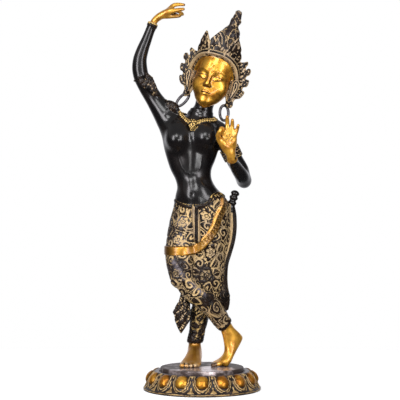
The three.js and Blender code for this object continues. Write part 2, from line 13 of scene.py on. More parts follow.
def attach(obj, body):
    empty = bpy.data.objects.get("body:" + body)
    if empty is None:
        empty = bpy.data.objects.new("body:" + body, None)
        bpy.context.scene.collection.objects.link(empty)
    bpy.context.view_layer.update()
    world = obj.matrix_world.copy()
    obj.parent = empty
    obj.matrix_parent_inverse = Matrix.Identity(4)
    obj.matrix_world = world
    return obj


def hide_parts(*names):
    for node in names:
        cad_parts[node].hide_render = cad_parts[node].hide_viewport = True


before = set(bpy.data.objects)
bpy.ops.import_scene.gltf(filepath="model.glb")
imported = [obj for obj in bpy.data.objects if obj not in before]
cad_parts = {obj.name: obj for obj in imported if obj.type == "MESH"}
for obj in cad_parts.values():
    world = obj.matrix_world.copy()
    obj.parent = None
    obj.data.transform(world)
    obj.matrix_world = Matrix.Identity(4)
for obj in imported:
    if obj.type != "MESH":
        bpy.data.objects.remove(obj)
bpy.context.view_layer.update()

MM = 0.001
CELL = 1.25
FIELD_LOW = (-162.0, -101.0, 46.0)
FIELD_HIGH = (116.0, 84.0, 865.0)
FAR = 30.0
JUST_INSIDE = -0.05
TINY = 1e-3
TRIANGLE_LIMIT = 196000
# How many points are compared with a whole line at a time
CHUNK = 4000
# How much of a part a point needs before the part's pattern is laid on it
LEAST_SHARE = 0.02

# Pedestal and foot plate
PETALS = 16
PEDESTAL_RADIUS = 131
PEDESTAL_SEAT_Z = 38.4
PLATE_RADIUS = 93
PLATE_BOTTOM_Z = 38.8
PLATE_TOP_Z = 50
PLATE_EDGE = 1.6
PLATE_RIM = 90
PLATE_COLUMNS = 144
# Rings of points under the plate and on its top, by radius
UNDER_RING = 60
TOP_RINGS = (86, 70, 52, 34, 16)
SHARP_ANGLE = 50
SOLE_Z = 50.3

# The head's own frame: the face looks along -Y and the crown of the head is up
HEAD_CENTRE = (29, -8, 694.5)
HEAD_TILT = 16
HEAD_TURN = -14
HEAD_NOD = 5

# The upright line that the cloth is wrapped round
HIP_AXIS = (-4, 8)
# Where parts end: the lowest bare skin that the cloth covers, and the lowest of the raised hand
SKIRT_Z = 350
RAISED_HAND_Z = 780

# How finely lines are followed to find the surface
RAY_STEP = 0.5
RAY_LENGTH = 115
FRONT_Y, MIDDLE_Y = -90, 30

X = np.array([1.0, 0.0, 0.0])
Y = np.array([0.0, 1.0, 0.0])
Z = np.array([0.0, 0.0, 1.0])


def unit(v):
    v = np.asarray(v, float)
    return v / np.maximum(np.linalg.norm(v, axis=-1, keepdims=True), 1e-12)


def turned(axis, degrees):
    return np.array(Matrix.Rotation(math.radians(degrees), 3, axis))


def ramp(value, low, high):
    """0 below low, 1 above high, and smooth between them."""
    t = np.clip((value - low) / (high - low), 0, 1)
    return t * t * (3 - 2 * t)


# Smooth rows of stations


def smoothed(stations, steps, closed=False):
    """A smooth line through stations, with `steps` rows to each span. The last two columns are
    half sizes, which never overshoot."""
    rows = np.array(stations, float)
    if closed:
        rows = np.vstack([rows[-2:], rows, rows[:2]])
    gap = np.linalg.norm(np.diff(rows[:, :3], axis=0), axis=1)[:, None]
    slope = np.diff(rows, axis=0) / gap
    tangent = np.vstack(
        [
            slope[:1],
            (slope[:-1] * gap[1:] + slope[1:] * gap[:-1]) / (gap[1:] + gap[:-1]),
            slope[-1:],
        ]
    )
    before = np.vstack([slope[:1], slope])[:, 3:]
    after = np.vstack([slope, slope[-1:]])[:, 3:]
    most = 3 * np.minimum(abs(before), abs(after)) * (before * after > 0)
    tangent[:, 3:] = np.clip(tangent[:, 3:], -most, most)
    spans = range(1, len(rows) - 2) if closed else range(len(rows) - 1)
    made = []
    for i in spans:
        for t in np.arange(steps) / steps:
            made.append(
                (2 * t**3 - 3 * t**2 + 1) * rows[i]
                + (t**3 - 2 * t**2 + t) * gap[i] * tangent[i]
                + (3 * t**2 - 2 * t**3) * rows[i + 1]
                + (t**3 - t**2) * gap[i] * tangent[i + 1]
            )
    if not closed:
        made.append(rows[-1])
    return np.array(made)


def curve(places, steps, closed=False):
    """A smooth line through places [x, y, z]."""
    return smoothed([(*p, 1, 1) for p in places], steps, closed)[:, :3]


def curled(outline, steps=3, closed=True):
    """A smooth line through places [u, w] in a plane."""
    return curve([(u, 0, w) for u, w in outline], steps, closed)[:, (0, 2)]


# Shapes. Each is a list of pieces (low corner, high corner, distance function), where the
# distance is negative inside.


def in_frame(x, y, z, centre, axes):
    """How far a point is from a centre along each of three axes."""
    x, y, z = x - centre[0], y - centre[1], z - centre[2]
    return [x * m[0] + y * m[1] + z * m[2] for m in axes]


def rounded(over, high, beyond, soft):
    """Distance to a bar with soft edges. `over` and `high` are how far a point is past its
    section less the soft edge, and `beyond` how far past its ends."""
    corner = np.sqrt(np.maximum(over, 0) ** 2 + np.maximum(high, 0) ** 2 + beyond**2)
    return np.minimum(np.maximum(over, high), 0) + corner - soft


def rounded_form(place, slope, smallest):
    """Distance to an oval form. `place` is where a point is, in half sizes of the form, and
    `slope` the same over the half sizes, of which `smallest` is the least."""
    reach = np.sqrt(place[0] ** 2 + place[1] ** 2 + place[2] ** 2)
    steep = np.sqrt(slope[0] ** 2 + slope[1] ** 2 + slope[2] ** 2)
    return (reach - 1) * (reach + TINY) / (steep + TINY / smallest)


def oval_distance(u, v, below, above, a, b, c_start=1.0, c_end=1.0):
    """Distance to an oval tube of half sizes a and b. `below` and `above` are how far past its
    two ends a point is, in lengths of their domes."""
    place = u / a, v / b, below + above
    slope = place[0] / a, place[1] / b, below / c_start + above / c_end
    return rounded_form(place, slope, np.minimum(a, b))


def tube(stations, side=X, up=None, ends=(None, None), steps=4):
    """A tube through stations [x, y, z, half width, half depth]. Its width lies along `side`,
    and its rings are square to `up`, if that is given. `ends` are the lengths of its two domes."""
    rows = smoothed([(*s, s[3])[:5] for s in stations], steps)
    middles, a, b = rows[:, :3], rows[:, 3], rows[:, 4]
    along = unit(np.gradient(middles, axis=0))
    if up is not None:
        along = np.sign(along @ up)[:, None] * up
    wide = ring_sides(along, side, np.all(a == b))
    deep = np.cross(along, wide)
    domes = [0.9 * min(a[0], b[0]) if ends[0] is None else ends[0],
             0.9 * min(a[-1], b[-1]) if ends[1] is None else ends[1]]
    last = len(rows) - 2
    return [
        tube_span(middles[i : i + 2], along[i : i + 2], wide[i : i + 2], deep[i : i + 2],
                  a[i : i + 2], b[i : i + 2], domes[0] if i == 0 else 0,
                  domes[1] if i == last else 0)
        for i in range(last + 1)
    ]


def ring_sides(along, side, all_round):
    """The direction of each ring's width. Round rings need none, so theirs just never twists."""
    if not all_round:
        return unit(side - (along @ side)[:, None] * along)
    least = np.eye(3)[np.argmin(abs(along[0]))]
    wide = [unit(np.cross(along[0], least))]
    for axis in along[1:]:
        wide.append(unit(wide[-1] - (wide[-1] @ axis) * axis))
    return np.array(wide)


def tube_span(middles, along, wide, deep, a, b, c_start, c_end):
    """One span of a tube, between two ring planes that it shares with its neighbours. A dome of
    no length is a flat end."""
    start, reach = middles[0], middles[1] - middles[0]

    def distance(x, y, z):
        x, y, z = x - start[0], y - start[1], z - start[2]
        before = x * along[0, 0] + y * along[0, 1] + z * along[0, 2]
        after = ((reach[0] - x) * along[1, 0] + (reach[1] - y) * along[1, 1]
                 + (reach[2] - z) * along[1, 2])
        t = np.clip(before / np.maximum(before + after, TINY), 0, 1)
        t = np.where(before <= 0, 0, np.where(after <= 0, 1, t)).astype(np.float32)
        x, y, z = x - t * reach[0], y - t * reach[1], z - t * reach[2]
        u, v = (
            x * (m[0, 0] + t * (m[1, 0] - m[0, 0])) + y * (m[0, 1] + t * (m[1, 1] - m[0, 1]))
            + z * (m[0, 2] + t * (m[1, 2] - m[0, 2]))
            for m in (wide, deep)
        )
        at = a[0] + (a[1] - a[0]) * t
        bt = b[0] + (b[1] - b[0]) * t
        below = np.maximum(-before, 0) / c_start if c_start else 0
        above = np.maximum(-after, 0) / c_end if c_end else 0
        made = oval_distance(u, v, below, above, at, bt, c_start or 1, c_end or 1)
        beyond = np.maximum(0 if c_start else -before, 0 if c_end else -after)
        return np.where(beyond > 0, np.hypot(np.maximum(made, 0), beyond), made)

    corners = []
    for i, dome, sign in ((0, c_start, -1), (1, c_end, 1)):
        half = np.hypot(a[i] * wide[i], b[i] * deep[i])
        tip = middles[i] + sign * dome * along[i]
        corners += [middles[i] - half, middles[i] + half, tip]
    return np.min(corners, axis=0), np.max(corners, axis=0), distance


def ball(centre, radii, frame3=np.eye(3)):
    """An ellipsoid whose half sizes lie along the columns of frame3."""
    centre, radii = np.asarray(centre, float), np.asarray(radii, float)

    def distance(x, y, z):
        place = [c / r for c, r in zip(in_frame(x, y, z, centre, frame3.T), radii)]
        slope = [c / r for c, r in zip(place, radii)]
        return rounded_form(place, slope, radii.min())

    half = np.sqrt(((frame3 * radii) ** 2).sum(1))
    return [(centre - half, centre + half, distance)]


def ring(centre, wide, tall, thick, frame3):
    """A ring of round wire, an oval wide by tall in the plane of frame3's first and last axes."""
    centre = np.asarray(centre, float)

    def distance(x, y, z):
        u, v, w = in_frame(x, y, z, centre, frame3.T)
        return np.hypot(oval_distance(u, w, 0, 0, wide, tall), v) - thick

    half = abs(frame3) @ np.array([wide + thick, thick, tall + thick])
    return [(centre - half, centre + half, distance)]


def strap(points, outs, half_width, half_thick, closed=False, crown=0.3):
    """A flat strap along points, facing outs, crowned across its width."""
    points, outs = np.asarray(points, float), np.asarray(outs, float)
    if closed:
        points = np.vstack([points, points[:1]])
        outs = np.vstack([outs, outs[:1]])
    return [
        strap_span(points[i], points[i + 1] - points[i], outs[i] + outs[i + 1], half_width,
                   half_thick, crown)
        for i in range(len(points) - 1)
    ]


def strap_span(start, reach, out, half_width, half_thick, crown):
    length = float(np.linalg.norm(reach))
    axis, up = reach / length, unit(out)
    up = unit(up - (up @ axis) * axis)
    across = np.cross(up, axis)
    soft = min(1.2, 0.6 * half_thick)

    def distance(x, y, z):
        w, u, v = in_frame(x, y, z, start, (axis, across, up))
        thick = half_thick * (1 - crown * (u / half_width) ** 2)
        beyond = np.maximum(np.maximum(-w, w - length), 0)
        return rounded(abs(u) - half_width + soft, abs(v) - thick + soft, beyond, soft)

    half = abs(across) * half_width + abs(up) * half_thick + 1
    ends = np.array([start, start + axis * length])
    return ends.min(0) - half, ends.max(0) + half, distance


def outline_distance(u, v, outline):
    """Distance to a closed outline of [u, v] points, negative inside."""
    near = np.full(np.broadcast(u, v).shape, 1e6, np.float32)
    inside = np.zeros(near.shape, bool)
    for (pu, pv), (qu, qv) in zip(outline, np.roll(outline, -1, axis=0)):
        eu, ev = qu - pu, qv - pv
        du, dv = u - pu, v - pv
        t = np.clip((du * eu + dv * ev) / (eu * eu + ev * ev), 0, 1)
        near = np.minimum(near, (du - t * eu) ** 2 + (dv - t * ev) ** 2)
        crosses = (pv > v) != (qv > v)
        left = u < pu + (v - pv) * eu / (ev if ev else 1e-9)
        inside ^= crosses & left
    return np.where(inside, -np.sqrt(near), np.sqrt(near))


def line_distance(u, v, line):
    """Distance to an open line of [u, v] points."""
    near = 1e6
    for (pu, pv), (qu, qv) in zip(line, line[1:]):
        eu, ev = qu - pu, qv - pv
        t = np.clip(((u - pu) * eu + (v - pv) * ev) / (eu * eu + ev * ev), 0, 1)
        near = np.minimum(near, np.hypot(u - pu - t * eu, v - pv - t * ev))
    return near


def plate(outline, centre, frame3, half_thick, relief=None):
    """A plate with an outline [u, v] in the plane of frame3's first and last axes. Its half
    thickness grows by relief(u, v, depth in from the edge)."""
    centre, outline = np.asarray(centre, float), np.asarray(outline, float)
    soft = 1.1

    def distance(x, y, z):
        u, v, w = in_frame(x, y, z, centre, frame3.T)
        edge = outline_distance(u, w, outline)
        thick = half_thick + (relief(u, w, -edge) if relief else 0)
        over, high = edge + soft, abs(v) - thick + soft
        corner = np.hypot(np.maximum(over, 0), np.maximum(high, 0))
        return np.minimum(np.maximum(over, high), 0) + corner - soft

    low, high = outline.min(0), outline.max(0)
    corners = [
        centre + frame3 @ [u, v * (half_thick + 2), w]
        for u in (low[0], high[0]) for v in (-1, 1) for w in (low[1], high[1])
    ]
    return [(np.min(corners, axis=0), np.max(corners, axis=0), distance)]


# The distance field, on a grid


class Field:
    """Distances on a grid of cells, with the part that is nearest to each grid point."""

    def __init__(self, low, high, cell):
        self.low, self.cell = np.array(low, float), cell
        self.shape = tuple(np.ceil((np.array(high) - low) / cell).astype(int) + 1)
        self.value = np.full(self.shape, FAR, np.float32)
        self.raw = np.full(self.shape, FAR, np.float32)
        self.owner = np.zeros(self.shape, np.uint8)
        self.names = [""]
        self.patterns = {}

    def window(self, low, high):
        first = np.maximum(np.floor((low - self.low) / self.cell).astype(int), 0)
        last = np.minimum(np.ceil((high - self.low) / self.cell).astype(int) + 1, self.shape)
        return first, np.maximum(last, first)

    def axes(self, first, last):
        marks = [
            (self.low[k] + self.cell * np.arange(first[k], last[k])).astype(np.float32)
            for k in range(3)
        ]
        return marks[0][:, None, None], marks[1][None, :, None], marks[2][None, None, :]

    def measured(self, pieces, margin):
        """The distance to a shape, on the smallest window that holds it."""
        low = np.min([p[0] for p in pieces], axis=0) - margin
        high = np.max([p[1] for p in pieces], axis=0) + margin
        first, last = self.window(low, high)
        made = np.full(last - first, FAR, np.float32)
        for low, high, distance in pieces:
            f, l = self.window(low - margin, high + margin)
            if np.any(l <= f):
                continue
            part = tuple(slice(a, b) for a, b in zip(f - first, l - first))
            d = distance(*self.axes(f, l)).astype(np.float32)
            np.minimum(made[part], d, out=made[part])
        return tuple(slice(a, b) for a, b in zip(first, last)), made

    def add(self, name, pieces, blend=0.5, reach=6):
        """Joins a shape to the field, with a fillet that reaches about `blend` each way. Later
        fillets onto this shape can be as wide as `reach`."""
        if name not in self.names:
            self.names.append(name)
        place, made = self.measured(pieces, max(blend, reach) + 2 * self.cell)
        old = self.value[place]
        meet = np.maximum(blend - abs(old - made), 0) / blend
        self.value[place] = np.minimum(old, made) - meet * meet * blend / 4
        nearer = made < self.raw[place]
        self.owner[place][nearer] = self.names.index(name)
        np.minimum(self.raw[place], made, out=self.raw[place])

    def cut(self, pieces, blend=0.5):
        """Cuts a shape out of the field, with a soft edge."""
        place, made = self.measured(pieces, blend + 2 * self.cell)
        old, made = self.value[place], -made
        meet = np.maximum(blend - abs(old - made), 0) / blend
        self.value[place] = np.maximum(old, made) + meet * meet * blend / 4

    def around(self, points):
        """The eight grid points round each point, and their weights."""
        where = (points - self.low) / self.cell
        base = np.clip(np.floor(where).astype(int), 0, np.array(self.shape) - 2)
        t = np.clip(where - base, 0, 1)
        for corner in np.ndindex(2, 2, 2):
            yield tuple((base + corner).T), np.prod(np.where(corner, t, 1 - t), axis=1)

    def sample(self, points):
        return sum(weight * self.value[at] for at, weight in self.around(points))

    def shares(self, points, names):
        """How much of each point belongs to any of the named parts, from 0 to 1."""
        chosen = np.isin(np.arange(len(self.names)), [self.names.index(n) for n in names])
        return sum(weight * chosen[self.owner[at]] for at, weight in self.around(points))

    def slope(self, points):
        steps = self.cell * np.eye(3)
        return np.stack([(self.sample(points + s) - self.sample(points - s)) / (2 * self.cell)
                         for s in steps], 1)

    def settle(self, points, rounds=3):
        """Moves points onto the surface along its slope."""
        for _ in range(rounds):
            slope = self.slope(points)
            size = np.maximum((slope**2).sum(1), 0.05)
            move = (self.sample(points) / size)[:, None] * slope
            points = points - np.clip(move, -self.cell, self.cell)
        return points

    def seen_from(self, axis_points, rough):
        """The outermost surface points on lines from axis points out through rough ones."""
        axis_points, rough = np.asarray(axis_points, float), np.asarray(rough, float)
        out = unit(rough - axis_points)
        marks = np.arange(0, RAY_LENGTH, RAY_STEP)
        line = axis_points[:, None] + out[:, None] * marks[None, :, None]
        inside = self.sample(line.reshape(-1, 3)).reshape(len(out), -1) < 0
        last = inside.shape[1] - 1 - np.argmax(inside[:, ::-1], axis=1)
        return self.settle(axis_points + out * (marks[last] + RAY_STEP / 2)[:, None]), out

    def untangled(self, rounds=4):
        """Fills single grid points where the surface would touch itself along an edge: where a
        square of the grid has only two opposite corners inside, the nearer other one joins."""
        square = np.array([(0, 0), (1, 0), (1, 1), (0, 1)])
        for first, second in [(0, 1), (0, 2), (1, 2)] * rounds:
            steps = np.zeros((4, 3), int)
            steps[:, (first, second)] = square
            size = np.array(self.shape) - steps.max(0)
            inside = self.value < 0
            a, b, c, d = (
                inside[tuple(slice(s, s + n) for s, n in zip(step, size))] for step in steps
            )
            corners = np.argwhere((a == c) & (b == d) & (a != b))[:, None] + steps
            values = self.value[tuple(corners.T)].T
            nearer = np.where(values < 0, FAR, values).argmin(1)
            joined = corners[np.arange(len(corners)), nearer]
            self.value[tuple(joined.T)] = JUST_INSIDE

    def meshed(self):
        """Vertices and quads of the zero surface, by surface nets."""
        inside = self.value < 0
        corners = list(np.ndindex(2, 2, 2))
        n = np.array(self.shape) - 1
        view = lambda c: tuple(slice(c[k], c[k] + n[k]) for k in range(3))
        count = sum(inside[view(c)].astype(np.int8) for c in corners)
        active = (count > 0) & (count < 8)
        cells = np.argwhere(active)
        index = np.full(active.shape, -1, np.int32)
        index[active] = np.arange(len(cells))
        values = np.stack([self.value[tuple((cells + c).T)] for c in corners], 1)
        total, hits = np.zeros((len(cells), 3)), np.zeros(len(cells))
        for a, ca in enumerate(corners):
            for b, cb in enumerate(corners):
                step = np.subtract(cb, ca)
                if step.min() < 0 or step.sum() != 1:
                    continue
                va, vb = values[:, a], values[:, b]
                crossed = (va < 0) != (vb < 0)
                t = np.where(crossed, va / np.where(crossed, va - vb, 1), 0)
                total += np.where(crossed[:, None], np.array(ca) + t[:, None] * step, 0)
                hits += crossed
        vertices = self.low + self.cell * (cells + total / hits[:, None])
        quads = []
        for k in range(3):
            u, v = (k + 1) % 3, (k + 2) % 3
            step = np.eye(3, dtype=int)
            here = [slice(1, -1)] * 3
            here[k] = slice(0, -1)
            there = list(here)
            there[k] = slice(1, None)
            a, b = inside[tuple(here)], inside[tuple(there)]
            offset = np.array([0 if i == k else 1 for i in range(3)])
            for sign, changed in ((1, a & ~b), (-1, ~a & b)):
                at = np.argwhere(changed) + offset
                around = [at - step[u] - step[v], at - step[v], at, at - step[u]]
                loop = np.stack([index[tuple(c.T)] for c in around], 1)
                quads.append(loop[:, ::sign])
        return vertices, np.vstack(quads)


# The trunk and the neck

# The soft rolls round the neck: [x, y, z, half width, half depth]
NECK_ROLLS = [
    (-5, 6.4, 605, 26.6, 24.6), (-2.8, 5.8, 612.5, 25, 23.6), (-0.4, 5.2, 620, 23.8, 22.8),
]
NECK_ROLL_RADIUS = 2.7
NECK_LEAN = 13


def add_trunk(field):
    trunk = [
        (-9, 8, 612, 25, 20), (-17, 7, 602, 45, 27), (-24, 5, 585, 60, 36), (-26, 4, 560, 62, 41),
        (-24, 3, 534, 60, 40), (-24, 1, 511, 53.5, 37), (-24.5, -1, 489, 45.5, 34),
        (-18.5, -2, 467, 40.6, 32.5), (-12, -2, 450, 43.5, 35), (-6, 0, 433, 53, 41),
        (-1, 3, 412, 60.5, 46), (-1, 6, 385, 62, 48),
    ]
    field.add("skin", tube(trunk, up=Z, steps=5), reach=18)
    for side in (-1, 1):
        middle = (-23.5 + 31.5 * side, -29, 558.5 + 1.5 * side)
        field.add("skin", ball(middle, (25, 25.5, 25)), 17)
        upper = ball((middle[0] - 3 * side, -22, 579), (21, 16, 18))
        field.add("skin", upper, 18)
    belly = ball((-14, -26, 438), (27, 16, 27))
    field.add("skin", belly, 16)
    cut_line(field, [(-22, 530), (-23, 500), (-23, 470), (-21, 450)], 1.1)
    field.cut(ball((-21.5, -44.6, 434), (2.6, 4, 3.4)), 2.4)
    neck = [
        (-6, 8, 590, 30, 26), (-4, 7, 600, 26.6, 24.5), (0, 5.4, 615, 24, 22.8),
        (3.6, 4.2, 628, 21.4, 21.8), (8, 3, 642, 22.4, 23), (12, 2, 655, 24, 25),
    ]
    field.add("skin", tube(neck, up=Z), 9, reach=14)
    level = turned("Y", NECK_LEAN) @ turned("X", 90)
    for x, y, z, a, b in NECK_ROLLS:
        field.add("throat", ring((x, y, z), a, b, NECK_ROLL_RADIUS, level), 1.6)


def cut_line(field, places, deep):
    """A soft groove down the front through [x, z] places."""
    line = on_front(field, places, 6)
    field.cut(tube([(*p, 1.6, 1.6) for p in line + [0, -1.7 + deep, 0]], steps=1), 4)


def on_front(field, places, steps):
    """Points on the front of the figure through [x, z] places."""
    rough = curve([(x, 0, z) for x, z in places], steps)
    marks = np.arange(FRONT_Y, MIDDLE_Y, RAY_STEP)
    line = rough[:, None] * [1, 0, 1] + marks[None, :, None] * Y
    inside = field.sample(line.reshape(-1, 3)).reshape(len(rough), -1) < 0
    rough[:, 1] = marks[np.argmax(inside, axis=1)] - RAY_STEP / 2
    return rough


FRONT_CORD = [(-56, 534), (-50, 512), (-41, 491), (-29, 480.5), (-14, 482), (-5, 493), (-1, 520)]


def add_front_cord(field):
    """The fine raised cord that loops from under the breasts to above the waist."""
    line = on_front(field, FRONT_CORD, 6)
    field.add("cord", tube([(*p, 1.25, 1.25) for p in line], steps=1, ends=(1, 1)), 0.8)


# The arms and their bands


def add_raised_arm(field):
    arm = [
        (-46, 5, 566, 24, 26), (-66, 6, 589, 29.6, 28), (-87, 6, 619, 24.6, 24.4),
        (-105, 6, 645, 19.9, 19.6), (-125, 5, 678, 18.6, 18.4), (-136, 4, 699, 17.4, 17.6),
        (-139.2, 3, 716, 17.2, 17.4), (-138.6, 1, 736, 15.4, 15.6), (-132.6, -1, 757, 13.6, 14),
        (-123.6, -3, 779.5, 11.6, 11.8), (-115.6, -5, 800, 10.6, 10.8),
        (-109.6, -6.2, 813.4, 11.4, 11.2),
    ]
    field.add("skin", tube(arm, ends=(None, 2), steps=8), 14)
    band_edge = [(-135.4, 4.2, 695, 18.3), (-136.4, 4.1, 697, 18.3)]
    field.add("crest", tube(band_edge, ends=(0.9, 0.9), steps=1), 0.5)
    leaf = [
        (-143, -10, 695, 2.5, 3), (-135, -12.6, 689, 8, 4), (-125, -13.6, 680, 9.5, 4.4),
        (-115, -13.6, 668, 6.5, 4), (-107, -12.6, 656, 2, 3),
    ]
    field.add("crest", tube(leaf, side=np.array([0.7, 0, 0.7])), 0.8)
    cuff = [(-112, -5.9, 809, 12, 12), (-109, -6.4, 816, 11.4, 11.4)]
    field.add("hem", tube(cuff, ends=(1, 1), steps=1), 1.5)
    crest = [
        (-124, -14, 704, 2, 2), (-117, -15.4, 690, 8.5, 4), (-109, -14.4, 670, 8.8, 4),
        (-101, -13, 655, 3, 2.4),
    ]
    field.add("crest", tube(crest, side=np.array([0.8, 0, 0.5])), 1)
    shoulder = [
        (-84, -6, 644, 3, 2), (-76, -10, 636, 9, 5), (-64, -12, 628, 11, 6),
        (-54, -10, 616, 6, 4),
    ]
    field.add("crest", tube(shoulder, side=np.array([0.6, 0, 0.8])), 1.5)


def add_arm_band(field):
    """The jewelled band round the bent arm, with a raised rim at each end."""
    stations = [(60.4, 14.6, 538.6, 21.6, 22.6), (71.4, 17.5, 516, 21.2, 21.8)]
    start, end = (np.array(s[:3], float) for s in stations)
    along = unit(end - start)
    field.add("lattice", tube(stations, ends=(1, 1), steps=2), 0.6)
    for station, shift in zip(stations, (0.6, -0.6)):
        middle = np.array(station[:3]) + shift * along
        wider = [half + 0.9 for half in station[3:]]
        rim = [(*(middle - 0.7 * along), *wider), (*(middle + 0.7 * along), *wider)]
        field.add("rim", tube(rim, ends=(0.9, 0.9), steps=1), 0.5)


def add_bent_arm(field):
    upper = [
        (12, 6, 584, 22, 24), (36, 8, 577, 21.5, 23), (53, 12, 551, 19.5, 21),
        (64, 15.6, 531, 18.6, 19.6), (75, 18.6, 509, 18.8, 19.4), (86, 21, 490, 18.8, 18.4),
        (93.4, 24, 470, 15.8, 16.6),
    ]
    field.add("skin", tube(upper, ends=(None, 18), steps=6), 12)
    forearm = [
        (95, 23, 464, 13.4, 14), (89.5, -2, 474.5, 15.4, 15.2), (76, -32, 493, 13.6, 13.2),
        (69, -51, 504, 11, 10.2), (64.8, -64, 513, 10.2, 9),
    ]
    field.add("skin", tube(forearm, steps=6), 11)
    add_arm_band(field)
    wrist = [(66.4, -59, 509, 12.2, 10), (65, -63.4, 512.4, 11.8, 9.6)]
    field.add("hand", tube(wrist, ends=(1.6, 1.6), steps=1), 0.8)
    crest = ball((52, 13, 556), (13, 21, 15), turned("Y", -28))
    field.add("crest", crest, 1.5)


# The hands: each finger is a row of stations [x, y, z, radius]


def add_fingers(field, name, fingers, blend=3.2):
    for stations in fingers:
        field.add(name, tube(stations, steps=4), blend)


def add_raised_hand(field):
    palm = [
        (-110, -6, 813, 7.8, 7.8), (-105.5, -6.6, 821.5, 8.4, 7.6), (-97, -8, 829, 11, 8.2),
        (-86, -9, 835.5, 14, 8.4), (-75, -10, 841, 16, 7.6), (-66, -10, 845, 14.6, 5.8),
    ]
    field.add("hand", tube(palm, side=Y), 1.5)
    fingers = [
        [(-80, -19, 836, 5.6), (-67, -21, 840.4, 5), (-54, -20, 843.8, 4.4), (-41, -19, 845.6, 3.3)],
        [(-74, -10, 846, 5.2), (-62, -11, 855.6, 4.7), (-50, -10, 857.2, 4), (-40, -9, 856.4, 3.1)],
        [(-70, 1, 843, 5), (-58, 2, 845, 4.4), (-48, 1, 841, 3.9), (-43, -2, 836, 3.3)],
        [(-72, 8, 839, 4.6), (-62, 9, 838, 4), (-54, 7, 835, 3.4), (-51, 3, 832.4, 2.9)],
        [(-90, -13, 831, 6.2), (-78, -16, 829.5, 5), (-62, -15, 830, 4.1), (-51, -12, 831.5, 3.9),
         (-45, -5, 838, 3.4)],
    ]
    add_fingers(field, "hand", fingers)


def add_gesture_hand(field):
    palm = [
        (64.8, -64, 511, 9.4, 8.8), (62, -68.5, 524, 11.2, 9.4), (58.5, -70, 537, 17, 9.6),
        (56.5, -70.5, 552, 20, 8.4), (56, -71, 566, 19, 7.2), (56.5, -71, 575, 16.5, 5.2),
    ]
    field.add("hand", tube(palm), 1.5)
    field.add("hand", ball((47, -77.4, 545), (6.6, 6.8, 16), turned("Y", -38)), 2.4)
    field.add("hand", ball((66.5, -76.6, 547), (5.6, 6, 15), turned("Y", 32)), 2.4)
    fingers = [
        [(56, -71, 571, 5.2), (55, -72, 586, 4.7), (55, -76, 597, 4.2), (54.4, -81, 603, 3.4)],
        [(64.5, -71, 570, 5), (65.8, -72, 582, 4.5), (66, -76, 591, 4), (66, -80, 596, 3.2)],
        [(72, -70, 564, 4.8), (76, -71, 574, 4.1), (78, -74, 581, 3.6), (78.8, -77, 585, 3)],
        [(46, -72, 568, 5.2), (43.5, -81, 577, 4.7), (41, -90, 576, 4.2), (38.5, -93, 570, 3.5)],
        [(46, -72, 540, 7.4), (37.5, -79, 553, 6), (34.5, -85, 562, 5), (36.5, -89.4, 569, 4)],
    ]
    add_fingers(field, "hand", fingers)


# Hips, legs and the draped cloth


def add_legs(field):
    thigh = [
        (-26, 6, 400, 24, 30), (-37, -1, 362, 36.5, 42), (-43, -13, 318, 37, 36.6),
        (-47, -24, 290, 32.6, 31.6), (-47.5, -31, 264, 27, 27.6), (-47, -34, 246, 22.4, 23),
    ]
    shin = [
        (-42, -33, 248, 20.5, 23), (-18, -27, 219, 24.6, 23.6), (14, -12, 192.5, 28.6, 22.6),
        (36, 4, 164, 22.2, 19.8), (44, 10.6, 151, 19.6, 18.6), (51.4, 15.2, 142.8, 18.8, 17.8),
    ]
    standing = [
        (33, 12, 392, 30, 40), (30, 18, 340, 32, 40), (22, 27, 285, 31, 34),
        (11, 34, 226, 26, 27), (4, 38, 190, 23, 24), (-4, 41, 170, 22.4, 22.4),
        (-7, 43, 148, 19.8, 20.4), (-11, 45.4, 125, 17.6, 19), (-15.4, 47, 101.4, 17.8, 18.8),
    ]
    field.add("cloth", tube(thigh, up=Z, ends=(None, 17)), 6)
    field.add("cloth", tube(shin, side=Y, ends=(None, 1.4)), 7)
    field.add("cloth", tube(standing, up=Z, ends=(None, 1.4)), 6)
    raised_hem = [(47, 12.4, 147.4, 20.2, 19.2), (50.6, 14.8, 143.6, 20, 19)]
    field.add("hem", tube(raised_hem, side=Y, ends=(1, 1), steps=1), 0.8)
    standing_hem = [(-14.6, 46.6, 106, 19, 20), (-15.6, 47.1, 101.6, 18.8, 19.8)]
    field.add("hem", tube(standing_hem, up=Z, ends=(1, 1), steps=1), 0.8)


def add_skirt(field):
    skirt = [
        (-1, 4, 409, 60, 45.5), (-3, 7, 389, 64.6, 50.6), (-5, 8, 366, 67.6, 53),
        (-6, 8, 344, 69.6, 52.4), (-8.5, 8, 318, 68, 49.6), (-11, 8, 292, 63.6, 45.6),
        (-7, 8, 266, 57, 42), (2, 8, 240, 45, 36), (10, 9, 214, 33, 28), (15, 11, 196, 23, 20),
    ]
    field.add("cloth", tube(skirt, up=Z, ends=(2, None)), 3, reach=10)
    for side in (-1, 1):
        field.add("cloth", ball((-2 + 33 * side, 30, 364), (36.4, 38.4, 41.4)), 10)


def on_hip_axis(z):
    return np.column_stack([np.full(len(z), v) for v in HIP_AXIS] + [z])


def draped(field, line, steps, closed=False):
    """Points on the cloth under a smooth line through rough points, seen from the hip's axis."""
    rough = curve(line, steps, closed)
    points, outs = field.seen_from(on_hip_axis(rough[:, 2]), rough)
    if closed:
        padded = np.vstack([points[-2:], points, points[:2]])
    else:
        padded = np.vstack([points[:1], points[:1], points, points[-1:], points[-1:]])
    weights = (0.1, 0.2, 0.4, 0.2, 0.1)
    count = len(points)
    evened = sum(w * padded[i : i + count] for i, w in enumerate(weights))
    return evened, outs


